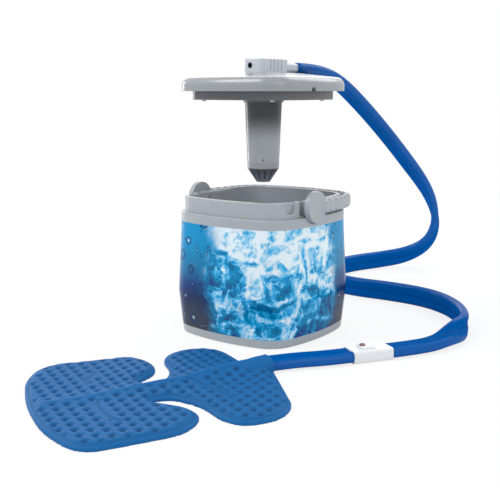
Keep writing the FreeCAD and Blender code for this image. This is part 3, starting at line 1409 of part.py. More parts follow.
def make_button_bush():
    """Soft ring under the button that pushes it back up."""
    spot = (BUTTON_PLACE, "0", WELL_BOTTOM)
    outer = rod("bush_outer", spot, "button_radius - fit_gap", f"{BUTTON_BOTTOM} - {WELL_BOTTOM}")
    inner = rod("bush_inner", (BUTTON_PLACE, "0", f"{WELL_BOTTOM} - overcut"),
                "button_radius - fit_gap - bush_wall", "button_depth + 2 * button_radius")
    keep(placed(cut("button_bush_cut", outer, inner)), "button_bush")


# ------------------------------------------------------------------ therapy pad

# The pad's outline on its grid: along from the inlet, and across.
PAD_OUTLINE = [
    (-6, 10), (61, 134), (98, 153), (138, 143), (149, 116), (142, 64), (156, 25), (177, 17),
    (184, 24), (160, 62), (162, 94), (181, 112), (208, 122), (262, 113), (316, 103), (323, 30),
    (303, -60), (270, -138), (228, -180), (156, -156), (114, -146), (105, -108), (120, -68), (160, -50),
    (161, -38), (128, -34), (104, -62), (88, -108), (60, -130), (18, -122), (0, -96), (5, -58),
    (13, -20), (-6, -12)]
# The fold that stands up along the pad: along, across, its rise above the pad, and half its width.
PAD_FOLD = [(8, 0, 9, 14), (54, -9, 8, 16), (117, -7, 5.5, 16), (149, -15, 4.5, 14), (207, -20, 3, 14),
            (256, -27, 2, 14), (294, -36, 1, 12)]


# How much of the shorter side beside a corner its arc takes up.
CORNER_SHARE = 0.48


def add_outline(sketch, points):
    """A closed outline whose corners are the largest arcs that their sides allow."""
    ends = []
    for place, corner in enumerate(points):
        run_in, run_out = corner - points[place - 1], points[(place + 1) % len(points)] - corner
        turn = run_in.getAngle(run_out)
        reach = CORNER_SHARE * min(run_in.Length, run_out.Length)
        first = corner - FreeCAD.Vector(run_in).normalize() * reach
        last = corner + FreeCAD.Vector(run_out).normalize() * reach
        radius = reach / math.tan(turn / 2.0)
        centre = corner + ((first + last) * 0.5 - corner).normalize() * (radius / math.cos(turn / 2.0))
        start, end = (first, last) if run_in.cross(run_out).z > 0 else (last, first)
        angles = [math.atan2(spot.y - centre.y, spot.x - centre.x) for spot in (start, end)]
        sketch.addGeometry(Part.ArcOfCircle(Part.Circle(centre, Z_AXIS, radius), *angles), False)
        ends.append((first, last))
    for place, (first, last) in enumerate(ends):
        sketch.addGeometry(Part.LineSegment(last, ends[(place + 1) % len(ends)][0]), False)


def in_pad_place(thing, turn):
    """Sets a piece at the pad's inlet, turned about Z."""
    thing.Placement.Rotation = FreeCAD.Rotation(Z_AXIS, size(turn))
    bind(thing, "Placement.Base.x", "pad_x")
    bind(thing, "Placement.Base.y", "pad_y")
    return thing


def make_fold():
    """The low tent along the pad: straight walls between three-cornered sections."""
    grid, foot = size("pad_grid"), size("pad_thickness - overcut")
    sections = []
    for along, across, rise, half in PAD_FOLD:
        low = [vector(along * grid, (across + side * half) * grid, foot) for side in (-1, 1)]
        top = vector(along * grid, across * grid, size("pad_thickness") + rise * grid)
        sections.append(Part.makePolygon([low[0], low[1], top, low[0]]))
    fold = DOC.addObject("Part::Feature", "pad_fold")
    fold.Shape = Part.makeLoft(sections, True, True)
    return fold


def fold_foot():
    """The area that the fold covers on the pad's own plane."""
    left = [vector(along, across - half, 0) for along, across, _, half in PAD_FOLD]
    right = [vector(along, across + half, 0) for along, across, _, half in PAD_FOLD]
    ring = [spot * size("pad_grid") for spot in left + right[::-1] + left[:1]]
    return Part.Face(Part.makePolygon(ring))


def dimple_places(outline):
    """Where the main dimples are: a slanting grid, clear of the pad's edge, its fold and its inlet."""
    turn = math.radians(size("pad_dimple_turn"))
    pitch, row, lean = size("pad_dimple_pitch"), size("pad_dimple_row"), size("pad_dimple_lean")
    margin, inlet = size("pad_dimple_margin"), size("boot_overlap + boot_width / 2")
    from_fold = size("pad_dimple_radius + pad_dimple_gap")
    sheet, fold = Part.Face(outline), fold_foot()
    reach = int(outline.BoundBox.DiagonalLength / row)
    places = []
    for number in range(-reach, reach + 1):
        for column in range(-reach, reach + 1):
            right, away = column * pitch + number * lean, number * row
            spot = vector(right * math.cos(turn) - away * math.sin(turn),
                          right * math.sin(turn) + away * math.cos(turn), 0)
            point = Part.Vertex(spot)
            clear = (outline.distToShape(point)[0] > margin and fold.distToShape(point)[0] > from_fold
                     and spot.Length > inlet)
            if clear and sheet.isInside(spot, NEAR, True):
                places.append(spot)
    return places


def make_therapy_pad():
    """The flat water pad, a soft closed form with wings, two notches, a fold and its main dimples."""
    body = new_body("therapy_pad")
    sketch = new_sketch(body, "pad_outline")
    add_outline(sketch, [vector(along, across, 0) * size("pad_grid") for along, across in PAD_OUTLINE])
    slab = body.newObject("PartDesign::Pad", "pad_slab")
    slab.Profile = sketch
    bind(slab, "Length", "pad_thickness")
    round_edges(body, "pad_rounding", "pad_edge_radius", level_edge("pad_thickness"))
    dimples = []
    for place, spot in enumerate(dimple_places(sketch.Shape.Wires[0])):
        low = (str(spot.x), str(spot.y), "pad_thickness - pad_dimple_depth")
        dimples.append(primitive("Cone", f"pad_dimple_{place}", low, Radius1="pad_dimple_floor",
                                 Radius2="pad_dimple_radius", Height="pad_dimple_depth"))
    flat = cut("pad_dimpled", body, fused("pad_dimples", dimples))
    return keep(in_pad_place(fused("pad_with_fold", [flat, make_fold()]), "pad_turn"), "therapy_pad")


def make_pad_and_boot():
    """The pad, and the moulded inlet that its hose enters, cut to sit on the pad's edge."""
    pad = make_therapy_pad()
    block = rounded_block("boot", ("0 - boot_length", "0 - boot_width / 2", "0"),
                          ("boot_overlap", "boot_width / 2", "boot_height"),
                          "boot_edge_radius", "boot_edge_radius", top_only=True)
    whole = DOC.addObject("Part::Compound", "boot_in_place")
    whole.Links = [block]
    keep(cut("pad_boot_cut", in_pad_place(whole, "inlet_turn"), pad), "pad_boot")


def make_pad_hose():
    """Short flat hose from the coupling to the pad's boot."""
    start, turn = coupling_spot(size("plug_length + socket_length")), math.radians(size("inlet_turn"))
    way = vector(math.cos(turn), math.sin(turn), 0)
    end = vector(size("pad_x"), size("pad_y"), start.z) - way * size("boot_length")
    coupling_way = coupling_spot(1.0) - coupling_spot(0.0)
    lead = (end - start).Length / 3.0
    points = [start, start + coupling_way * lead, end - way * lead, end]
    swept_tube("pad_hose", points, 1, len(points) - 2, Z_AXIS.cross(coupling_way), Z_AXIS)


# ------------------------------------------------------------------ build and export

def make_all():
    for make in (make_base_tray, make_base_screws, make_rubber_feet, make_outer_shell, make_label_sleeve,
                 make_insulation_foam, make_inner_liner, make_rim_band, make_pivot_pins, make_handle,
                 make_lid_cover, make_lid_inner_panel, make_lid_foam, make_lid_gasket, make_lid_screws,
                 make_pump_head, make_head_screws, make_power_jack, make_driver_board, make_outlet_fitting,
                 make_tubes, make_pump_column, make_intake_nose, make_filter_screen, make_pump_volute,
                 make_impeller, make_pump_motor, make_pump_hose, make_coupling_plug, make_coupling_socket,
                 make_coupling_seals, make_release_button, make_button_bush, make_pad_and_boot,
                 make_pad_hose):
        make()


def check_all():
    """Stops before anything is written if an object failed or a sub-part isn't a sound solid."""
    DOC.recompute()
    for thing in DOC.Objects:
        bad = [word for word in thing.State if word in ("Invalid", "Error")]
        if bad:
            raise RuntimeError(f"{thing.Name} ({thing.Label}) is {bad}")
    for part in PARTS:
        shape = part.Shape
        if shape.isNull() or not shape.isValid() or not shape.Solids:
            raise RuntimeError(f"{part.Label} has no sound solid")


def export_all():
    os.makedirs("parts", exist_ok=True)
    for part in PARTS:
        part.Shape.exportStep(f"parts/{part.Label}.step")
        print(part.Label, len(part.Shape.Solids), "solid(s)", round(part.Shape.Volume), "mm3")


make_all()
check_all()
export_all()
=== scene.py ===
"""Dresses the cold-water therapy cooler: finishes on its rigid parts, the soft hose and the dimpled pad."""
import math

import bmesh
import bpy
import numpy as np
from bpy.props import FloatProperty, FloatVectorProperty, PointerProperty
from mathutils import Matrix, Vector
from mathutils.kdtree import KDTree


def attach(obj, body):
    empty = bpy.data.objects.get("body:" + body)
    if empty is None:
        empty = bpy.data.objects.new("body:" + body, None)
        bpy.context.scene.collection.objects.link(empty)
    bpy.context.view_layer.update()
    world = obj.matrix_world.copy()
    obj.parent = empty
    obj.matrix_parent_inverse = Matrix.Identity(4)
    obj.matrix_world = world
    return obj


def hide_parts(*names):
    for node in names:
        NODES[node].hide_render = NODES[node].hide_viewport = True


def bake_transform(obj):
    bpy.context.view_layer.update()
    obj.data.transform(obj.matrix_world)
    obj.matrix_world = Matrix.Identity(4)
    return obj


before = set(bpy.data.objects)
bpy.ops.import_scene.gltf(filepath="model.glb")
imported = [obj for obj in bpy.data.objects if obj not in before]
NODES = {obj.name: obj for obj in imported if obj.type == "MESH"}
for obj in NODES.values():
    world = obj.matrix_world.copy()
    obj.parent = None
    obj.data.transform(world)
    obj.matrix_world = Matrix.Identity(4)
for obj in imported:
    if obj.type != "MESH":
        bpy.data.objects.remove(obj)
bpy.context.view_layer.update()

bl_info = {
    "name": "Cold Therapy Cooler",
    "version": (1, 0, 0),
    "blender": (4, 5, 0),
    "location": "View3D > Sidebar > Cooler",
    "description": "Finishes, hose and pad of a cold-water therapy cooler",
    "category": "Object",
}

MM = 0.001
UP = Vector((0, 0, 1))
RIGHT = Vector((1, 0, 0))
# In plan, the directions along the coupling and across it.
COUPLING_RUN = Vector((0.515, 0.857, 0.0))
COUPLING_SIDE = Vector((-0.857, 0.515, 0.0))


# ------------------------------------------------------------------ sizes and colours

class CoolerSizes(bpy.types.PropertyGroup):
    """Sizes of the soft pieces."""
    hose_width: FloatProperty(name="Hose width", description="Across both water ways",
                              default=34 * MM, unit="LENGTH")
    hose_thickness: FloatProperty(name="Hose thickness", description="Across one water way",
                                  default=15 * MM, unit="LENGTH")
    web_thickness: FloatProperty(name="Web thickness", description="Between the two water ways",
                                 default=12.4 * MM, unit="LENGTH")
    pump_hose_length: FloatProperty(name="Pump hose length", description="From the lid to the coupling",
                                    default=1.58, unit="LENGTH")
    skin_cell: FloatProperty(name="Pad mesh size", description="Size of the pad's mesh cells",
                             default=1.6 * MM, unit="LENGTH")
    pad_thickness: FloatProperty(name="Pad thickness", description="Of the filled pad",
                                 default=9 * MM, unit="LENGTH")
    border_thickness: FloatProperty(name="Border thickness",
                                    description="Of the two sheets welded at the pad's edge",
                                    default=3.6 * MM, unit="LENGTH")
    dimple_pitch: FloatProperty(name="Dimple pitch", description="Between dimples in a row",
                                default=17 * MM, unit="LENGTH")
    dimple_rows: FloatProperty(name="Dimple row pitch", description="Between rows of dimples",
                               default=15 * MM, unit="LENGTH")
    dimple_lean: FloatProperty(name="Dimple lean",
                               description="How far each row is shifted along the one before",
                               default=-8 * MM, unit="LENGTH")
    dimple_depth: FloatProperty(name="Dimple depth", description="Of each welded dimple",
                                default=3.2 * MM, unit="LENGTH")
    weld_inset: FloatProperty(name="Border weld", description="From the pad's edge to its weld line",
                              default=5 * MM, unit="LENGTH")


class CoolerColours(bpy.types.PropertyGroup):
    """Colours of the finishes, as linear light."""
    grey: FloatVectorProperty(name="Satin grey", description="Lid, band, handle and tray",
                              subtype="COLOR", default=(0.40, 0.425, 0.455))
    liner: FloatVectorProperty(name="Liner grey", description="Inside of the bucket",
                               subtype="COLOR", default=(0.40, 0.42, 0.46))
    nose: FloatVectorProperty(name="Nose grey", description="Intake nose and its screen",
                              subtype="COLOR", default=(0.19, 0.20, 0.24))
    hose: FloatVectorProperty(name="Hose blue", description="Both hoses",
                              subtype="COLOR", default=(0.0, 0.090, 0.355))
    pad: FloatVectorProperty(name="Pad blue", description="Therapy pad",
                             subtype="COLOR", default=(0.008, 0.122, 0.348))
    coupling: FloatVectorProperty(name="Coupling white", description="Quick coupling",
                                  subtype="COLOR", default=(0.80, 0.82, 0.84))
    button: FloatVectorProperty(name="Button red", description="Release button",
                                subtype="COLOR", default=(0.15, 0.012, 0.02))
    sky: FloatVectorProperty(name="Sky blue", description="Upper part of the printed wrap",
                             subtype="COLOR", default=(0.0, 0.26, 0.53))
    deep: FloatVectorProperty(name="Deep blue", description="Lower part of the printed wrap",
                              subtype="COLOR", default=(0.003, 0.045, 0.20))


class CoolerStage(bpy.types.PropertyGroup):
    """Floor and light."""
    floor_size: FloatProperty(name="Floor size", description="Side of the floor",
                              default=160.0, unit="LENGTH")
    key_power: FloatProperty(name="Key light", description="Power of the large lamp",
                             default=21.0, unit="POWER")
    strip_height: FloatProperty(name="Strip light height", description="Of the narrow lamp at the left",
                                default=1.3, unit="LENGTH")
    sky_strength: FloatProperty(name="Surrounding light", description="Strength of the even light",
                                default=0.66)


def sizes():
    return bpy.context.scene.cooler_sizes


def colours():
    return bpy.context.scene.cooler_colours


# ------------------------------------------------------------------ materials

class Wire:
    """An output in a material's nodes; Python's operators on it add Math nodes."""

    def __init__(self, paint, socket):
        self.paint, self.socket = paint, socket

    def math(self, operation, *values):
        """A Math node on the values, or on this wire alone."""
        return self.paint.node("Math", {"operation": operation}, dict(enumerate(values or (self,))))

    def __add__(self, other):
        return self.math("ADD", self, other)

    def __sub__(self, other):
        return self.math("SUBTRACT", self, other)

    def __rsub__(self, other):
        return self.math("SUBTRACT", other, self)

    def __mul__(self, other):
        return self.math("MULTIPLY", self, other)

    def __truediv__(self, other):
        return self.math("DIVIDE", self, other)

    def __abs__(self):
        return self.math("ABSOLUTE")

    __radd__ = __add__
    __rmul__ = __mul__

    def band(self, low, high):
        """0 below low, 1 above high and a smooth step between; falling if low is above high."""
        ends = {1: low, 2: high, 3: 0.0, 4: 1.0} if low < high else {1: high, 2: low, 3: 1.0, 4: 0.0}
        return self.paint.node("MapRange", {"interpolation_type": "SMOOTHSTEP"}, {0: self, **ends})


class Paint:
    """One material: a Principled shader and the nodes that feed it."""

    def __init__(self, name, **constants):
        self.material = bpy.data.materials.new(name)
        self.material.use_nodes = True
        self.tree = self.material.node_tree
        self.tree.nodes.clear()
        self.shader = self.tree.nodes.new("ShaderNodeBsdfPrincipled")
        output = self.tree.nodes.new("ShaderNodeOutputMaterial")
        self.tree.links.new(self.shader.outputs[0], output.inputs[0])
        self.place = self.node("TexCoord", out="Object")
        for name, value in constants.items():
            self.feed(name.replace("_", " "), value)

    def node(self, kind, settings=None, inputs=None, out=0):
        item = self.tree.nodes.new("ShaderNode" + kind)
        for name, value in (settings or {}).items():
            if name == "stops":
                self.set_stops(item.color_ramp, value)
            else:
                setattr(item, name, value)
        for key, value in (inputs or {}).items():
            self.join(item.inputs[key], value)
        return Wire(self, item.outputs[out])

    @staticmethod
    def set_stops(ramp, stops):
        while len(ramp.elements) < len(stops):
            ramp.elements.new(0.5)
        for element, (position, colour) in zip(ramp.elements, stops):
            element.position = position
            element.color = (*colour, 1.0)

    def join(self, socket, value):
        if isinstance(value, Wire):
            self.tree.links.new(value.socket, socket)
        elif socket.type == "RGBA" and len(value) == 3:
            socket.default_value = (*value, 1.0)
        else:
            socket.default_value = value

    def feed(self, name, value):
        self.join(self.shader.inputs[name], value)

    def mix(self, first, second, factor):
        return self.node("Mix", {"data_type": "RGBA"}, {0: factor, 6: first, 7: second}, out=2)

    def ramp(self, factor, stops):
        return self.node("ValToRGB", {"stops": stops}, {0: factor})

    def noise(self, scale, detail=2.0, vector=None, out=0, **more):
        inputs = {"Vector": vector or self.place, "Scale": scale, "Detail": detail, **more}
        return self.node("TexNoise", {}, inputs, out)

    def cells(self, scale, vector=None, out="Distance", **settings):
        return self.node("TexVoronoi", settings, {"Vector": vector or self.place, "Scale": scale}, out)

    def attribute(self, name):
        return self.node("Attribute", {"attribute_name": name}, out="Fac")

    def vector(self, x, y, z=0.0):
        return self.node("CombineXYZ", {}, {0: x, 1: y, 2: z})

    def axes(self, vector=None):
        """The three coordinates of a point as wires."""
        split = self.node("SeparateXYZ", {}, {0: vector or self.place})
        return [Wire(self, socket) for socket in split.socket.node.outputs]

    def grain(self, height, distance, strength=1.0):
        """Surface relief, in metres."""
        bump = self.node("Bump", {}, {"Strength": strength, "Distance": distance, "Height": height})
        self.feed("Normal", bump)


def shade(colour, factor):
    return tuple(min(1.0, part * factor) for part in colour)


def moulded_plastic(name, colour, roughness=0.36, coat=0.12):
    """Satin moulding with faint flow marks and a fine spark-eroded grain."""
    paint = Paint(name, Coat_Roughness=0.16, Coat_Weight=coat)
    flow = paint.noise(16.0, 3.0)
    speck = paint.noise(420.0, 2.0)
    paint.feed("Base Color", paint.mix(shade(colour, 0.93), shade(colour, 1.07), flow * 0.7 + speck * 0.3))
    paint.feed("Roughness", flow * 0.10 + speck * 0.08 + (roughness - 0.09))
    paint.grain(speck * 0.7 + paint.noise(900.0, 1.0) * 0.3, 0.12 * MM)
    return paint.material


# Heights on the pump column, in metres: its stretch of painted shade and reflection under the lid, the
# nose's seam and the shaded end of the cone.
SHADE_UNDER_LID = (0.284, 0.326)
NOSE_SEAM = (0.2462, 0.2472)
CONE_SHADE = (0.228, 0.244)


def column_plastic():
    """The column's satin grey, with painted shade and reflection darkening it where it meets the lid."""
    colour = colours().grey
    paint = Paint("column_grey", Coat_Roughness=0.12, Coat_Weight=0.35)
    height = paint.axes()[2]
    flow = paint.noise(20.0, 3.0)
    # painted shade and reflection: darker upwards, nearly black under the lid
    lid_shade = height.band(*SHADE_UNDER_LID)
    plain = paint.mix(shade(colour, 0.78), shade(colour, 0.92), flow)
    paint.feed("Base Color", paint.mix(plain, shade(colour, 0.06), lid_shade))
    paint.feed("Roughness", flow * 0.08 + 0.24)
    paint.grain(paint.noise(500.0, 2.0), 0.05 * MM)
    return paint.material


def nose_plastic():
    """The intake nose: a collar like the column's and a darker cone, darkest under the collar."""
    ink = colours()
    paint = Paint("nose_grey", Coat_Roughness=0.2, Coat_Weight=0.12)
    height = paint.axes()[2]
    flow = paint.noise(20.0, 3.0)
    cone = paint.mix(shade(ink.nose, 1.2), shade(ink.nose, 0.55), height.band(*CONE_SHADE))
    collar = paint.mix(shade(ink.grey, 0.70), shade(ink.grey, 0.84), flow)
    paint.feed("Base Color", paint.mix(cone, collar, height.band(*NOSE_SEAM)))
    paint.feed("Roughness", flow * 0.08 + 0.28)
    paint.grain(paint.noise(500.0, 2.0), 0.05 * MM)
    return paint.material


# The printed wrap: its foot and top in metres, the turn that brings the ice to the front corner in radians,
# how many blocks, chips, veins and swirls there are in a metre, and how far the swirls push the ice.
WRAP_FOOT, WRAP_TOP = 0.012, 0.172
ICE_TURN = 0.72
BLOCKS, CHIPS, VEINS, SWIRLS = 21.0, 50.0, 38.0, 26.0
SWIRL_PUSH = 0.027
# Bubbles: how many cells in a metre, and the share of the cells that hold one.
BUBBLES = ((40.0, 0.40), (66.0, 0.42), (125.0, 0.30))


def open_water(paint, ink, level):
    """Sky blue at the top, deep blue lower down and nearly black at the foot."""
    return paint.ramp(level, [
        (0.0, (0.035, 0.045, 0.07)), (0.22, shade(ink.deep, 0.5)), (0.40, ink.deep),
        (0.62, shade(ink.sky, 0.72)), (0.86, ink.sky), (1.0, shade(ink.sky, 1.1))])


def crushed_ice(paint, ink, warp, height, bank, drift):
    """Loose blocks with bright rims, broken up by finer chips and veins, and paler towards the top."""
    block = paint.cells(BLOCKS, warp, distance="CHEBYCHEV")
    tint = paint.axes(paint.cells(BLOCKS, warp, "Color", distance="CHEBYCHEV"))[0]
    rim = block.band(0.28, 0.42) * block.band(0.56, 0.44)
    chips = paint.noise(CHIPS, 6.0, warp, Roughness=0.66, Distortion=0.5)
    veins = abs(paint.noise(VEINS, 3.0, warp) - 0.5).band(0.035, 0.0)
    pale = (bank * 0.7 + height * 0.9 + drift * 0.8).band(0.75, 1.6)
    tone = (chips - 0.5) * 2.1 + (tint - 0.5) * 0.42 + rim * 0.34 + veins * 0.26 + pale * 0.34
    tone = tone + height * 0.34 + bank * 0.30 - 0.08
    return paint.ramp(tone, [
        (0.0, shade(ink.deep, 1.2)), (0.22, shade(ink.sky, 0.62)), (0.42, ink.sky),
        (0.58, (0.04, 0.44, 0.80)), (0.78, (0.34, 0.66, 0.86)), (1.0, (0.80, 0.90, 0.94))])


def add_bubbles(paint, picture, cover, deep):
    """Bubbles in the open water, each with a dark rim and a bright spot."""
    for scale, share in BUBBLES:
        pick = paint.axes(paint.cells(scale, out="Color"))
        reach = paint.cells(scale) / (pick[0] * 0.26 + 0.10)
        chosen = pick[1].band(1.0 - share, 1.0 - share + 0.04) * (1.0 - cover * 0.8)
        edge = reach.band(0.40, 0.95) * reach.band(1.12, 0.98)
        picture = paint.mix(picture, shade(deep, 0.7), edge * chosen * 0.8)
        picture = paint.mix(picture, (0.62, 0.84, 0.94), reach.band(0.50, 0.15) * chosen * 0.9)
    return picture


def printed_wrap():
    """Glossy printed film: crushed ice round the front corner, open water with bubbles round the rest."""
    ink = colours()
    paint = Paint("printed_wrap", Coat_Weight=0.22, Coat_Roughness=0.06, Specular_IOR_Level=0.06)
    x, y, z = paint.axes()
    bank = (x.math("ARCTAN2", y, x) + ICE_TURN).math("COSINE")
    height = z.band(WRAP_FOOT, WRAP_TOP)
    drift = paint.noise(9.0, 3.0) - 0.5
    swirl = paint.noise(SWIRLS, 4.0, out="Color")
    push = paint.node("VectorMath", {"operation": "SCALE"}, {0: swirl, "Scale": SWIRL_PUSH})
    warp = paint.node("VectorMath", {"operation": "ADD"}, {0: paint.place, 1: push})
    cover = (bank + drift - abs(height - 0.45) * 0.25).band(0.22, 0.62)
    picture = paint.mix(open_water(paint, ink, height + drift * 0.4),
                        crushed_ice(paint, ink, warp, height, bank, drift), cover)
    paint.feed("Base Color", add_bubbles(paint, picture, cover, ink.deep))
    paint.feed("Roughness", paint.noise(30.0, 2.0) * 0.06 + 0.14)
    paint.grain(paint.noise(18.0, 2.0), 0.15 * MM, 0.4)
    return paint.material


def hose_rubber():
    """Blue tube with fine drawn lines along it, painted shade along its groove and glossier outer sides."""
    colour = colours().hose
    paint = Paint("hose_blue", Coat_Roughness=0.06, Specular_IOR_Level=0.0)
    across = paint.attribute("across")
    drawn = paint.noise(1.0, 2.0, paint.vector(across * 26.0, paint.attribute("along") * 3.0))
    cloud = paint.noise(8.0, 3.0)
    base = paint.mix(shade(colour, 0.84), shade(colour, 1.24), drawn * 0.4 + cloud * 0.6)
    # painted shade: the groove between the two tubes is darkened
    groove_shade = abs(across).band(0.20, 0.02)
    paint.feed("Base Color", paint.mix(base, shade(colour, 0.66), groove_shade * 0.5))
    paint.feed("Coat Weight", abs(across).band(0.66, 0.90) * 0.30 + 0.03)
    paint.feed("Roughness", drawn * 0.10 + 0.30)
    paint.grain(drawn * 0.6 + paint.noise(520.0, 2.0) * 0.4, 0.02 * MM, 0.8)
    return paint.material


def pad_vinyl():
    """Soft-touch sheet: fine leathery grain, painted shade down in its dents, arcs and weld seam, and a
    painted highlight on the fold's crest.
    """
    colour = colours().pad
    paint = Paint("pad_blue", Specular_IOR_Level=0.12)
    cloud = paint.noise(11.0, 3.0)
    fleck = paint.noise(520.0, 3.0)
    base = paint.mix(shade(colour, 0.78), shade(colour, 1.26), cloud * 0.35 + fleck * 0.65)
    # painted highlight on the fold's crest
    base = paint.mix(base, shade(colour, 1.55), paint.attribute("crease"))
    # painted shade in the dents, arcs and weld seam
    paint.feed("Base Color", paint.mix(base, shade(colour, 0.48), paint.attribute("dent")))
    paint.feed("Roughness", fleck * 0.14 + 0.48)
    paint.grain(paint.cells(900.0) * 0.6 + fleck * 0.5, 0.22 * MM)
    return paint.material


# The coupling's grip ribs: radians in a metre along it, and the heights in metres between which they fade.
RIB_RATE = 2000.0
RIB_TOP = (0.0155, 0.0145)
RIB_FOOT = (0.002, 0.003)


def ribbed_white():
    """White coupling plastic with fine moulded grip ribs across its length, and painted shade in their
    grooves.
    """
    colour = colours().coupling
    paint = Paint("coupling_white", Coat_Weight=0.2, Coat_Roughness=0.15, Subsurface_Weight=0.05,
                  Subsurface_Radius=(0.004, 0.004, 0.004))
    x, y, z = paint.axes()
    wave = ((x * COUPLING_RUN.x + y * COUPLING_RUN.y) * RIB_RATE).math("SINE")
    ribs = wave.band(0.2, 0.9) * z.band(*RIB_TOP) * z.band(*RIB_FOOT)
    cloud = paint.noise(40.0, 2.0)
    base = paint.mix(shade(colour, 0.96), shade(colour, 1.05), cloud)
    # painted shade in the grooves between the grip ribs
    paint.feed("Base Color", paint.mix(base, shade(colour, 0.72), ribs * 0.4))
    paint.feed("Roughness", cloud * 0.1 + 0.32)
    paint.grain(paint.cells(620.0) * 0.2 - ribs, 0.22 * MM)
    return paint.material


def brushed_metal():
    """Steel with fine level brush lines."""
    paint = Paint("brushed_steel", Metallic=1.0)
    x, y, z = paint.axes()
    lines = paint.noise(1.0, 2.0, paint.vector(x * 60.0, y * 60.0, z * 2500.0))
    paint.feed("Base Color", paint.mix((0.46, 0.47, 0.49), (0.62, 0.63, 0.65), lines))
    paint.feed("Roughness", lines * 0.2 + 0.22)
    paint.grain(lines, 0.02 * MM)
    return paint.material


def matt_rubber(name, colour):
    """Matt, faintly speckled rubber."""
    paint = Paint(name)
    speck = paint.noise(700.0, 2.0)
    paint.feed("Base Color", paint.mix(shade(colour, 0.8), shade(colour, 1.3), speck))
    paint.feed("Roughness", speck * 0.2 + 0.6)
    paint.grain(speck, 0.1 * MM)
    return paint.material


def rigid_foam():
    """Pale foam of small closed cells."""
    paint = Paint("closed_foam", Subsurface_Weight=0.1, Subsurface_Radius=(0.003, 0.003, 0.003))
    cell = paint.cells(420.0)
    paint.feed("Base Color", paint.mix((0.74, 0.72, 0.62), (0.90, 0.89, 0.82), cell))
    paint.feed("Roughness", cell * 0.1 + 0.78)
    paint.grain(cell, 0.4 * MM)
    return paint.material


def coated_board():
    """Green board with copper runs under the coating."""
    paint = Paint("board_green", Coat_Weight=0.3, Coat_Roughness=0.2)
    runs = paint.cells(260.0, feature="DISTANCE_TO_EDGE").band(0.10, 0.06)
    paint.feed("Base Color", paint.mix((0.012, 0.11, 0.035), (0.05, 0.24, 0.08), runs))
    paint.feed("Roughness", runs * 0.1 + 0.34)
    paint.grain(runs, 0.03 * MM)
    return paint.material


def clear_vinyl():
    """Clear tube with a milky cast."""
    paint = Paint("clear_vinyl", Coat_Weight=0.4, Coat_Roughness=0.08, Transmission_Weight=0.45, IOR=1.45)
    cloud = paint.noise(60.0, 2.0)
    paint.feed("Base Color", paint.mix((0.74, 0.80, 0.82), (0.84, 0.88, 0.90), cloud))
    paint.feed("Roughness", cloud * 0.1 + 0.15)
    paint.grain(cloud, 0.05 * MM)
    return paint.material


def wear(node_names, material):
    """Gives CAD nodes a material."""
    for name in node_names:
        for slot in NODES[name].material_slots:
            slot.material = material


# ------------------------------------------------------------------ pieces

def new_piece(name, shape, material, body=None):
    """A mesh object from a bmesh, smooth, with one material."""
    mesh = bpy.data.meshes.new(name)
    shape.to_mesh(mesh)
    shape.free()
    mesh.materials.append(material)
    for face in mesh.polygons:
        face.use_smooth = True
    piece = bpy.data.objects.new(name, mesh)
    bpy.context.scene.collection.objects.link(piece)
    if body:
        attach(piece, body)
    return piece


def soft_line(points):
    """Points read from the smooth spline that follows a route."""
    curve = bpy.data.curves.new("route", "CURVE")
    curve.dimensions = "3D"
    spline = curve.splines.new("NURBS")
    spline.points.add(len(points) - 1)
    for spot, point in zip(spline.points, points):
        spot.co = (*point, 1.0)
    spline.order_u = 3
    spline.use_endpoint_u = True
    spline.resolution_u = 12
    holder = bpy.data.objects.new("route", curve)
    bpy.context.scene.collection.objects.link(holder)
    mesh = bpy.data.meshes.new_from_object(holder)
    line = [vertex.co.copy() for vertex in mesh.vertices]
    bpy.data.objects.remove(holder)
    bpy.data.curves.remove(curve)
    bpy.data.meshes.remove(mesh)
    return line


def station(line, point):
    """Index of the line's point nearest to a given one."""
    return min(range(len(line)), key=lambda place: (line[place] - point).length)


def directions(line):
    """The line's direction at each of its points."""
    ends = [line[0], *line, line[-1]]
    return [(after - before).normalized() for before, after in zip(ends[:-2], ends[2:])]


def smooth(share):
    """A share from 0 to 1, with a slow start and a slow end."""
    return share * share * (3.0 - 2.0 * share)


def laid_frames(line, lay):
    """The direction and the wide direction at each point of the line.

    The wide one is carried along without twist, then turned to meet each (station, direction) of the lay.
    """
    runs = directions(line)
    wide = [lay[0][1]]
    for run in runs[1:]:
        wide.append((wide[-1] - run * wide[-1].dot(run)).normalized())
    turns = []
    for place, aim in lay:
        run, here = runs[place], wide[place]
        flat = (aim - run * run.dot(aim)).normalized()
        angle = math.atan2(run.dot(here.cross(flat)), here.dot(flat))
        last = turns[-1][1] if turns else 0.0
        angle += round((last - angle) / math.tau) * math.tau
        turns.append((place, angle))
    placed = []
    for place, (run, here) in enumerate(zip(runs, wide)):
        before = max((turn for turn in turns if turn[0] <= place), key=lambda turn: turn[0])
        after = min((turn for turn in turns if turn[0] >= place), key=lambda turn: turn[0])
        share = smooth((place - before[0]) / max(1, after[0] - before[0]))
        angle = before[1] + (after[1] - before[1]) * share
        placed.append((run, Matrix.Rotation(angle, 3, run) @ here))
    return placed


# Each tube's round side in the hose's section, in degrees from its outermost point.
LOBE_END, LOBE_STEP = 120, 20


def twin_section(width, thickness, web):
    """Outline (across, out) of two joined tubes, from the right lobe round to the start."""
    radius = thickness / 2.0
    reach = width / 2.0 - radius
    lobe = [math.radians(angle) for angle in range(-LOBE_END, LOBE_END + 1, LOBE_STEP)]
    right = [(reach + radius * math.cos(angle), radius * math.sin(angle)) for angle in lobe]
    left = [(-across, -out) for across, out in right]
    return right + [(0.0, web / 2.0)] + left + [(0.0, -web / 2.0)]


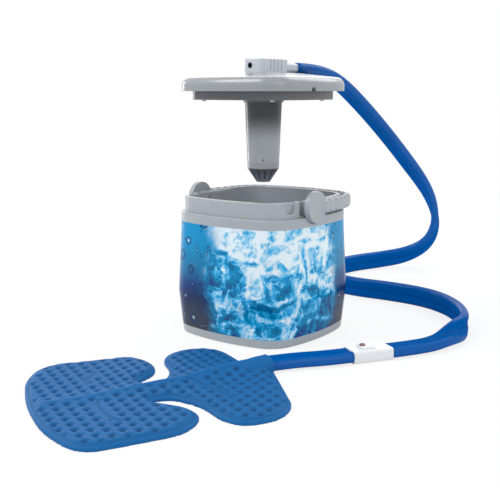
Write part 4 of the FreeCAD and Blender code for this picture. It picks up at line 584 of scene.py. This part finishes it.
def tube_shape(line, frames, sections, width):
    """Rings of the sections bridged along the line and closed at both ends.

    Each point keeps how far along and across it lies.
    """
    shape = bmesh.new()
    along_layer = shape.verts.layers.float.new("along")
    across_layer = shape.verts.layers.float.new("across")
    travelled = 0.0
    rings = []
    for place, (spot, (run, wide), section) in enumerate(zip(line, frames, sections)):
        travelled += (spot - line[place - 1]).length if place else 0.0
        thin = run.cross(wide)
        ring = []
        for across, out in section:
            vertex = shape.verts.new(spot + wide * across + thin * out)
            vertex[along_layer] = travelled
            vertex[across_layer] = 2.0 * across / width
            ring.append(vertex)
        rings.append([shape.edges.new((ring[n - 1], ring[n])) for n in range(len(ring))])
    for first, second in zip(rings, rings[1:]):
        bmesh.ops.bridge_loops(shape, edges=first + second)
    for ring in (rings[0], rings[-1]):
        bmesh.ops.contextual_create(shape, geom=ring)
    bmesh.ops.recalc_face_normals(shape, faces=shape.faces)
    return shape


# The pump hose's route, in millimetres: down from the lid, round, along the floor and into the coupling.
PUMP_ROUTE = [
    (6, 60.3, 393.5), (6, 122, 393.5), (6, 192, 376.5), (6, 285, 327), (6, 372, 274), (6, 445, 226),
    (6, 509, 182), (6, 553, 140), (4, 579, 93), (-14, 580, 50), (-52, 560, 25), (-92, 516, 17.3),
    (-114, 457, 17.3), (-119, 392, 17.3), (-111, 340, 17.3), (-84, 298, 17.3), (-40, 275, 17.3),
    (12, 269, 17.3), (66, 276, 17.3), (134, 273, 17.3), (190, 246, 17.3), (234, 202, 17.3),
    (262, 154, 17.3), (272, 108, 17.3), (263, 62, 8.8), (247.6, 20, 8.8), (226, -16, 8.8)]
PAD_ROUTE = [
    (195.6, -66.6, 8.8), (177.4, -96.9, 8.8), (154.4, -124, 8.8), (136.2, -154.3, 8.8), (127, -170, 8.8)]
# How each hose lies: a point of its route, and the direction that its wide side takes there.
PUMP_LAY = [(0, RIGHT), (5, RIGHT), (11, UP), (22, UP), (24, COUPLING_SIDE), (26, COUPLING_SIDE)]
PAD_LAY = [(0, COUPLING_SIDE), (4, COUPLING_SIDE)]


def hose_piece(name, route, lay_points):
    """A twin hose along a route, and the line through its middle."""
    box = sizes()
    spots = [Vector(point) * MM for point in route]
    line = soft_line(spots)
    lay = [(station(line, spots[place]), aim) for place, aim in lay_points]
    lay[-1] = (len(line) - 1, lay[-1][1])
    section = twin_section(box.hose_width, box.hose_thickness, box.web_thickness)
    shape = tube_shape(line, laid_frames(line, lay), [section] * len(line), box.hose_width)
    return new_piece(name, shape, hose_rubber()), line


def nearest_on(polyline, spots):
    """For each spot (x, y): its distance to the polyline and the distance travelled along the polyline."""
    best = np.full(len(spots), 1e9)
    where = np.zeros(len(spots))
    gone = 0.0
    for first, last in zip(polyline, polyline[1:]):
        first, last = np.array(first, float), np.array(last, float)
        run = last - first
        length = float(np.hypot(*run))
        share = np.clip((spots - first) @ run / length ** 2, 0.0, 1.0)
        away = np.hypot(*(spots - first - share[:, None] * run).T)
        closer = away < best
        best[closer] = away[closer]
        where[closer] = gone + share[closer] * length
        gone += length
    return best, where


def step(value, low, high):
    """0 below low, 1 above high and a smooth step between."""
    return smooth(np.clip((value - low) / (high - low), 0.0, 1.0))


# Lines on the pad, in millimetres: the fold that runs from the inlet, and the moulded arcs.
PAD_FOLD = [(128, -168), (105, -218), (91, -279), (75, -308), (55, -363), (36, -408), (17, -443)]
PAD_ARCS = [
    [(-22, -326), (-15, -334), (-10, -346), (-4, -358), (9, -366)],
    [(60, -394), (67, -401), (78, -409), (90, -415), (109, -422), (127, -423)],
    [(91, -279), (106, -276), (120, -276), (140, -279), (163, -285), (178, -294)],
    [(91, -279), (76, -282), (58, -282), (42, -277), (33, -266)]]
# At distances along the fold, in millimetres: how high it stands, and how far out its foot reaches.
FOLD_HEIGHT = [(0, 9.5), (30, 9.0), (80, 6.5), (140, 4.5), (220, 3.0), (320, 1.5)]
FOLD_SPREAD = [(0, 30), (120, 32), (320, 26)]
# The dimples' lattice: how its rows are turned, a dimple's half width and half length in millimetres,
# and how steep its sides are.
LATTICE_TURN = math.radians(-142.0)
DIMPLE_REACH = (3.9, 4.9)
DIMPLE_EDGE = 1.2
# The pad's other relief, in millimetres. EDGE_ROUND is a power: the higher it is, the blunter the edge.
EDGE_SLOPE, EDGE_ROUND = 16.0, 2.2
SEAM_HALF, SEAM_DEPTH = 1.3, 1.1
ARC_HALF, ARC_DEPTH = 2.0, 1.6
CREST_HALF, CREST_RISE = 1.5, 1.3
FOLD_END = 320


def dimple_field(spots):
    """How deep in a dimple each spot is, 0 to 1, on a slanting lattice that starts at the inlet."""
    box = sizes()
    pitch, rows, lean = (value / MM for value in (box.dimple_pitch, box.dimple_rows, box.dimple_lean))
    shifted = spots - np.array(PAD_FOLD[0], float)
    right = shifted @ np.array([math.cos(LATTICE_TURN), math.sin(LATTICE_TURN)])
    away = shifted @ np.array([-math.sin(LATTICE_TURN), math.cos(LATTICE_TURN)])
    field = np.zeros(len(spots))
    for near in (-1, 0, 1):
        row = np.round(away / rows) + near
        column = np.round((right - row * lean) / pitch)
        across = (right - row * lean - column * pitch) / DIMPLE_REACH[0]
        deep = (away - row * rows) / DIMPLE_REACH[1]
        field = np.maximum(field, np.exp(-(across ** 2 + deep ** 2) ** DIMPLE_EDGE))
    return field


def pad_relief(spots, edge_away):
    """At each spot the pad's thickness in millimetres, its painted shade in the dents, arcs and weld seam,
    and its painted highlight on the fold's crest, 0 to 1.
    """
    box = sizes()
    full, border, weld = (value / MM for value in (box.pad_thickness, box.border_thickness, box.weld_inset))
    rise = 1.0 - np.clip(1.0 - edge_away / EDGE_SLOPE, 0.0, 1.0) ** EDGE_ROUND
    seam = np.exp(-((edge_away - weld) / SEAM_HALF) ** 2)
    height = border + (full - border) * rise - SEAM_DEPTH * seam
    hollow = dimple_field(spots) * step(edge_away, weld + 1.0, weld + 5.0)
    fold_away, fold_along = nearest_on(PAD_FOLD, spots)
    hollow *= step(fold_away, 3.0, 9.0)
    arc = np.zeros(len(spots))
    for points in PAD_ARCS:
        away, _ = nearest_on(points, spots)
        arc = np.maximum(arc, np.exp(-(away / ARC_HALF) ** 2))
        hollow *= step(away, 3.0, 7.0)
    arc *= step(edge_away, weld, weld + 4.0)
    height -= hollow * box.dimple_depth / MM + arc * ARC_DEPTH
    # the fold stands up from the inlet, sinks towards the far end and has a pinched crest
    crest_height = np.interp(fold_along, *zip(*FOLD_HEIGHT))
    spread = np.interp(fold_along, *zip(*FOLD_SPREAD))
    tent = crest_height * np.clip(1.0 - fold_away / spread, 0.0, 1.0) ** 1.5
    fading = np.interp(fold_along, (0, FOLD_END), (1, 0.15))
    pinch = np.exp(-(fold_away / CREST_HALF) ** 2) * step(edge_away, 8.0, 20.0) * fading
    height += tent * step(edge_away, 1.0, 20.0) + CREST_RISE * pinch
    # the second value is painted shade in the dents, arcs and weld seam; the third a painted highlight on
    # the crest
    return height, np.clip(hollow + arc * 0.5 + seam * 0.35, 0.0, 1.0), pinch * 0.6


def flat_pad():
    """The pad's solid as a merged bmesh."""
    shape = bmesh.new()
    shape.from_mesh(NODES["therapy_pad"].data)
    bmesh.ops.remove_doubles(shape, verts=shape.verts, dist=0.01 * MM)
    return shape


# Below this height, in metres, a point is on the pad's underside.
UNDERSIDE = 0.1 * MM


def pad_skin():
    """The pad's outline as a slab with a skin of even fine cells."""
    box = sizes()
    shape = flat_pad()
    upper = [face for face in shape.faces
             if face.normal.z > -0.9 or face.calc_center_median().z > UNDERSIDE]
    bmesh.ops.delete(shape, geom=upper, context="FACES")
    raised = bmesh.ops.extrude_face_region(shape, geom=shape.faces[:])["geom"]
    bmesh.ops.translate(shape, vec=UP * box.pad_thickness,
                        verts=[part for part in raised if isinstance(part, bmesh.types.BMVert)])
    bmesh.ops.recalc_face_normals(shape, faces=shape.faces)
    mesh = bpy.data.meshes.new("pad_rough")
    shape.to_mesh(mesh)
    shape.free()
    rough = bpy.data.objects.new("pad_rough", mesh)
    bpy.context.scene.collection.objects.link(rough)
    remesh = rough.modifiers.new("skin", "REMESH")
    remesh.mode = "VOXEL"
    remesh.voxel_size = box.skin_cell
    even = bpy.data.meshes.new_from_object(rough.evaluated_get(bpy.context.evaluated_depsgraph_get()))
    bpy.data.objects.remove(rough)
    bpy.data.meshes.remove(mesh)
    return even


def border_tree():
    """Points along the pad's edge, for measuring how far a spot is from it."""
    shape = flat_pad()
    rim = [edge for edge in shape.edges if all(vertex.co.z < UNDERSIDE for vertex in edge.verts)
           and any(abs(face.normal.z) < 0.5 for face in edge.link_faces)]
    spots = []
    for edge in rim:
        first, last = (vertex.co.xy for vertex in edge.verts)
        count = max(1, int((last - first).length / MM))
        spots += [first.lerp(last, number / count) for number in range(count)]
    tree = KDTree(len(spots))
    for number, spot in enumerate(spots):
        tree.insert((*spot, 0.0), number)
    tree.balance()
    shape.free()
    return tree


# ------------------------------------------------------------------ operators

# The camera and the lamps, in metres; each lamp has its place, size and share of the key light's power.
CAMERA_PLACE = Vector((0.79107, -1.04979, 0.36027))
CAMERA_LOOK = Vector((-0.60390, 0.77679, -0.17863))
CAMERA_LENS, CAMERA_SENSOR = 63.36, 36.0
LAMP_AIM = Vector((0.0, 0.1, 0.15))
LAMPS = [
    ("key", (-0.9, -1.1, 1.9), 1.3, 1.0),
    ("fill", (1.6, -0.6, 1.2), 1.6, 0.35),
    ("back", (0.3, 1.7, 1.7), 1.4, 0.5),
    ("sheen", (-1.25, 1.6, 1.0), 1.5, 0.33),
    ("strip", (-1.7, 0.1, 0.35), 0.14, 0.26)]
# The floor turns plain white between these distances from its middle, in metres.
FLOOR_FADE = (0.7, 2.2)


class COOLER_OT_stage(bpy.types.Operator):
    """Camera, pale floor and soft studio light"""
    bl_idname = "cooler.stage"
    bl_label = "Stage"

    def execute(self, context):
        settings = context.scene.cooler_stage
        data = bpy.data.cameras.new("camera")
        data.sensor_width = CAMERA_SENSOR
        data.lens = CAMERA_LENS
        camera = bpy.data.objects.new("camera", data)
        side = CAMERA_LOOK.cross(UP).normalized()
        turn = Matrix((side, side.cross(CAMERA_LOOK), -CAMERA_LOOK)).transposed().to_4x4()
        camera.matrix_world = Matrix.Translation(CAMERA_PLACE) @ turn
        context.scene.collection.objects.link(camera)
        context.scene.camera = camera
        self.add_floor(settings)
        self.add_lamps(settings)
        self.set_world(context.scene, settings)
        context.scene.view_settings.view_transform = "Standard"
        return {"FINISHED"}

    def add_floor(self, settings):
        shape = bmesh.new()
        bmesh.ops.create_grid(shape, x_segments=1, y_segments=1, size=settings.floor_size / 2.0)
        paint = Paint("pale_floor", Roughness=0.9, Base_Color=(0.94, 0.945, 0.95))
        rays = paint.node("LightPath", out="Is Camera Ray")
        away = paint.node("VectorMath", {"operation": "LENGTH"}, {0: paint.place}, out="Value")
        glow = paint.node("Emission", {}, {"Color": (1.0, 1.0, 1.0), "Strength": 1.0})
        seen = rays * (0.8 + away.band(*FLOOR_FADE) * 0.2)
        blend = paint.node("MixShader", {}, {0: seen, 1: Wire(paint, paint.shader.outputs[0]), 2: glow})
        output = next(item for item in paint.tree.nodes if item.type == "OUTPUT_MATERIAL")
        paint.join(output.inputs[0], blend)
        new_piece("floor", shape, paint.material)

    def add_lamps(self, settings):
        for name, spot, size, share in LAMPS:
            data = bpy.data.lights.new(name, "AREA")
            data.shape = "RECTANGLE" if name == "strip" else "DISK"
            data.size = size
            if name == "strip":
                data.size_y = settings.strip_height
            data.energy = settings.key_power * share
            lamp = bpy.data.objects.new(name, data)
            lamp.location = spot
            lamp.visible_camera = False
            lamp.rotation_euler = (LAMP_AIM - lamp.location).to_track_quat("-Z", "Y").to_euler()
            bpy.context.scene.collection.objects.link(lamp)

    def set_world(self, scene, settings):
        world = bpy.data.worlds.new("studio")
        world.use_nodes = True
        tree = world.node_tree
        tree.nodes.clear()
        output = tree.nodes.new("ShaderNodeOutputWorld")
        light = tree.nodes.new("ShaderNodeBackground")
        light.inputs["Color"].default_value = (0.97, 0.985, 1.0, 1.0)
        light.inputs["Strength"].default_value = settings.sky_strength
        white = tree.nodes.new("ShaderNodeBackground")
        white.inputs["Color"].default_value = (1.0, 1.0, 1.0, 1.0)
        white.inputs["Strength"].default_value = 1.0
        rays = tree.nodes.new("ShaderNodeLightPath")
        seen = rays.outputs["Is Camera Ray"]
        for kind in ("Is Glossy Ray", "Is Transmission Ray"):
            either = tree.nodes.new("ShaderNodeMath")
            either.operation = "MAXIMUM"
            tree.links.new(seen, either.inputs[0])
            tree.links.new(rays.outputs[kind], either.inputs[1])
            seen = either.outputs[0]
        mix = tree.nodes.new("ShaderNodeMixShader")
        tree.links.new(seen, mix.inputs[0])
        tree.links.new(light.outputs[0], mix.inputs[1])
        tree.links.new(white.outputs[0], mix.inputs[2])
        tree.links.new(mix.outputs[0], output.inputs[0])
        scene.world = world


class COOLER_OT_pump_hose(bpy.types.Operator):
    """Long twin hose from the lid to the coupling"""
    bl_idname = "cooler.pump_hose"
    bl_label = "Pump hose"

    def execute(self, context):
        hose, line = hose_piece("pump_hose", PUMP_ROUTE, PUMP_LAY)
        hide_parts("hose_drop", "hose_upper_twist", "hose_floor_run", "hose_lower_twist",
                    "hose_coupling_end")
        # the slanting line leaves all of the floor run beyond its end, so that stretch stays where it lies
        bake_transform(hose)
        return {"FINISHED"}


class COOLER_OT_pad_hose(bpy.types.Operator):
    """Short twin hose from the coupling to the pad"""
    bl_idname = "cooler.pad_hose"
    bl_label = "Pad hose"

    def execute(self, context):
        hose, _ = hose_piece("pad_line", PAD_ROUTE, PAD_LAY)
        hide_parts("pad_hose")
        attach(hose, "bucket")
        return {"FINISHED"}


class COOLER_OT_pad(bpy.types.Operator):
    """Dimpled water pad with its welded border, moulded arcs and fold"""
    bl_idname = "cooler.pad"
    bl_label = "Therapy pad"

    def execute(self, context):
        mesh = pad_skin()
        spots = np.empty(len(mesh.vertices) * 3)
        mesh.vertices.foreach_get("co", spots)
        spots = spots.reshape(-1, 3) / MM
        tree = border_tree()
        away = np.array([tree.find((x * MM, y * MM, 0.0))[2] / MM for x, y, _ in spots])
        height, dent, crease = pad_relief(spots[:, :2], away)
        spots[:, 2] *= height * MM / sizes().pad_thickness
        mesh.vertices.foreach_set("co", (spots * MM).ravel())
        # the painted shade and the painted highlight are kept on the mesh for the pad's material
        for name, values in (("dent", dent), ("crease", crease)):
            mesh.attributes.new(name, "FLOAT", "POINT").data.foreach_set("value", values)
        shape = bmesh.new()
        shape.from_mesh(mesh)
        bpy.data.meshes.remove(mesh)
        piece = new_piece("water_pad", shape, pad_vinyl(), "bucket")
        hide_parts("therapy_pad")
        return {"FINISHED"}


class COOLER_OT_inlet(bpy.types.Operator):
    """Sleeve of the pad's sheet that wraps the hose and flares into the fold"""
    bl_idname = "cooler.inlet"
    bl_label = "Pad inlet"

    # Along the inlet and the fold: place, half width and height in millimetres, and squareness.
    SECTIONS = [
        ((131.9, -161.5), 20.4, 18.7, 3.4), ((131.2, -162.7), 20.8, 19.0, 3.2),
        ((130.1, -164.5), 20.0, 18.3, 3.2), ((128.0, -168.0), 20.4, 18.4, 2.8),
        ((124.6, -175.6), 22.4, 18.3, 2.3), ((121.0, -185.0), 24.0, 18.1, 1.8),
        ((116.0, -197.0), 22.5, 17.2, 1.45), ((111.0, -210.0), 16.0, 15.0, 1.2)]
    # In millimetres: the gap under it, and the wall round its mouth.
    FLOOR_GAP = 0.3
    WALL = 1.6
    HUMP_STEPS = 16

    def execute(self, context):
        line = [Vector((*place, self.FLOOR_GAP)) * MM for place, *_ in self.SECTIONS]
        frames = [(run, run.cross(UP).normalized() * -1.0) for run in directions(line)]
        sections = [self.hump(*form) for _, *form in self.SECTIONS]
        shape = tube_shape(line, frames, sections, 2.0 * self.SECTIONS[0][1] * MM)
        shape.faces.ensure_lookup_table()
        mouth = min(shape.faces, key=lambda face: (face.calc_center_median() - line[0]).xy.length)
        bmesh.ops.inset_individual(shape, faces=[mouth], thickness=self.WALL * MM, use_even_offset=True)
        inner = bmesh.ops.extrude_discrete_faces(shape, faces=[mouth])["faces"]
        bmesh.ops.translate(shape, verts=inner[0].verts, vec=(line[3] - line[0]) * 0.9)
        bmesh.ops.recalc_face_normals(shape, faces=shape.faces)
        piece = new_piece("pad_inlet", shape, pad_vinyl(), "bucket")
        rounding = piece.modifiers.new("smooth", "SUBSURF")
        rounding.levels = rounding.render_levels = 2
        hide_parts("pad_boot")
        return {"FINISHED"}

    def hump(self, half, height, square):
        """Half an oval that stands on the pad, from blunt to peaked."""
        ring = []
        for number in range(self.HUMP_STEPS + 1):
            turn = math.pi * number / self.HUMP_STEPS
            across, up = math.cos(turn), math.sin(turn)
            ring.append((math.copysign(abs(across) ** (2.0 / square), across) * half * MM,
                         abs(up) ** (2.0 / square) * height * MM))
        return ring


class COOLER_OT_bucket(bpy.types.Operator):
    """Finishes of the bucket and its handle"""
    bl_idname = "cooler.bucket"
    bl_label = "Bucket finishes"

    def execute(self, context):
        ink = colours()
        satin = moulded_plastic("satin_grey", shade(ink.grey, 0.95), 0.42, 0.06)
        wear(["rim_band", "handle_bail", "base_tray"], satin)
        wear(["outer_shell"], moulded_plastic("shell_grey", shade(ink.grey, 1.05), 0.45))
        wear(["inner_liner"], moulded_plastic("liner_grey", ink.liner, 0.30))
        wear(["label_sleeve"], printed_wrap())
        wear(["base_screws", "pivot_pins"], brushed_metal())
        wear(["rubber_feet"], matt_rubber("foot_rubber", (0.03, 0.03, 0.032)))
        wear(["insulation_foam"], rigid_foam())
        return {"FINISHED"}


class COOLER_OT_lid(bpy.types.Operator):
    """Finishes of the lid and the pump"""
    bl_idname = "cooler.lid"
    bl_label = "Lid and pump finishes"

    def execute(self, context):
        ink = colours()
        # painted shade: a darker copy of the grey offsets the light the lid's slanting sides take from
        # above
        wear(["lid_cover"], moulded_plastic("lid_grey_painted_shade", shade(ink.grey, 0.70), 0.28, 0.5))
        # painted light: the head and outlet get a much lighter copy of the grey so their shaded front looks
        # lit
        wear(["pump_head", "outlet_fitting"], moulded_plastic("head_grey_painted_light", shade(ink.grey, 1.5), 0.30))
        # painted shade and reflection: the panel under the lid gets a much darker copy of the grey
        wear(["lid_inner_panel"], moulded_plastic("plug_grey_painted_shade", shade(ink.grey, 0.27), 0.3))
        wear(["pump_column"], column_plastic())
        wear(["intake_nose", "filter_screen"], nose_plastic())
        white = moulded_plastic("pump_white", (0.70, 0.71, 0.72), 0.4)
        wear(["pump_volute", "pump_motor", "impeller"], white)
        wear(["lid_screws", "head_screws", "motor_shaft"], brushed_metal())
        wear(["lid_gasket"], matt_rubber("gasket_rubber", (0.05, 0.05, 0.055)))
        wear(["power_jack"], moulded_plastic("jack_black", (0.014, 0.014, 0.016), 0.4))
        wear(["driver_board"], coated_board())
        wear(["supply_tube", "return_tube"], clear_vinyl())
        wear(["lid_foam"], rigid_foam())
        return {"FINISHED"}


class COOLER_OT_coupling(bpy.types.Operator):
    """Finishes of the quick coupling"""
    bl_idname = "cooler.coupling"
    bl_label = "Coupling finishes"

    def execute(self, context):
        wear(["coupling_plug", "coupling_socket"], ribbed_white())
        wear(["release_button"], moulded_plastic("button_red", colours().button, 0.3))
        wear(["coupling_seals", "button_bush"], matt_rubber("seal_rubber", (0.02, 0.02, 0.022)))
        return {"FINISHED"}


class COOLER_PT_panel(bpy.types.Panel):
    """Lists the cooler's pieces"""
    bl_label = "Cooler"
    bl_idname = "COOLER_PT_panel"
    bl_space_type = "VIEW_3D"
    bl_region_type = "UI"
    bl_category = "Cooler"

    def draw(self, context):
        for operator in OPERATORS:
            self.layout.operator(operator.bl_idname)
        for group in (context.scene.cooler_sizes, context.scene.cooler_colours, context.scene.cooler_stage):
            for name in group.bl_rna.properties.keys():
                if name not in ("rna_type", "name"):
                    self.layout.prop(group, name)


GROUPS = {"cooler_sizes": CoolerSizes, "cooler_colours": CoolerColours, "cooler_stage": CoolerStage}
OPERATORS = [COOLER_OT_stage, COOLER_OT_pump_hose, COOLER_OT_pad_hose, COOLER_OT_pad, COOLER_OT_inlet,
             COOLER_OT_bucket, COOLER_OT_lid, COOLER_OT_coupling]


def register():
    for name, group in GROUPS.items():
        bpy.utils.register_class(group)
        setattr(bpy.types.Scene, name, PointerProperty(type=group))
    for item in (*OPERATORS, COOLER_PT_panel):
        bpy.utils.register_class(item)


def unregister():
    for item in (COOLER_PT_panel, *reversed(OPERATORS)):
        bpy.utils.unregister_class(item)
    for name, group in GROUPS.items():
        delattr(bpy.types.Scene, name)
        bpy.utils.unregister_class(group)


def main():
    register()
    bpy.ops.cooler.stage()
    bpy.ops.cooler.pump_hose()
    bpy.ops.cooler.pad_hose()
    bpy.ops.cooler.pad()
    bpy.ops.cooler.inlet()
    bpy.ops.cooler.bucket()
    bpy.ops.cooler.lid()
    bpy.ops.cooler.coupling()


if __name__ == "__main__":
    main()
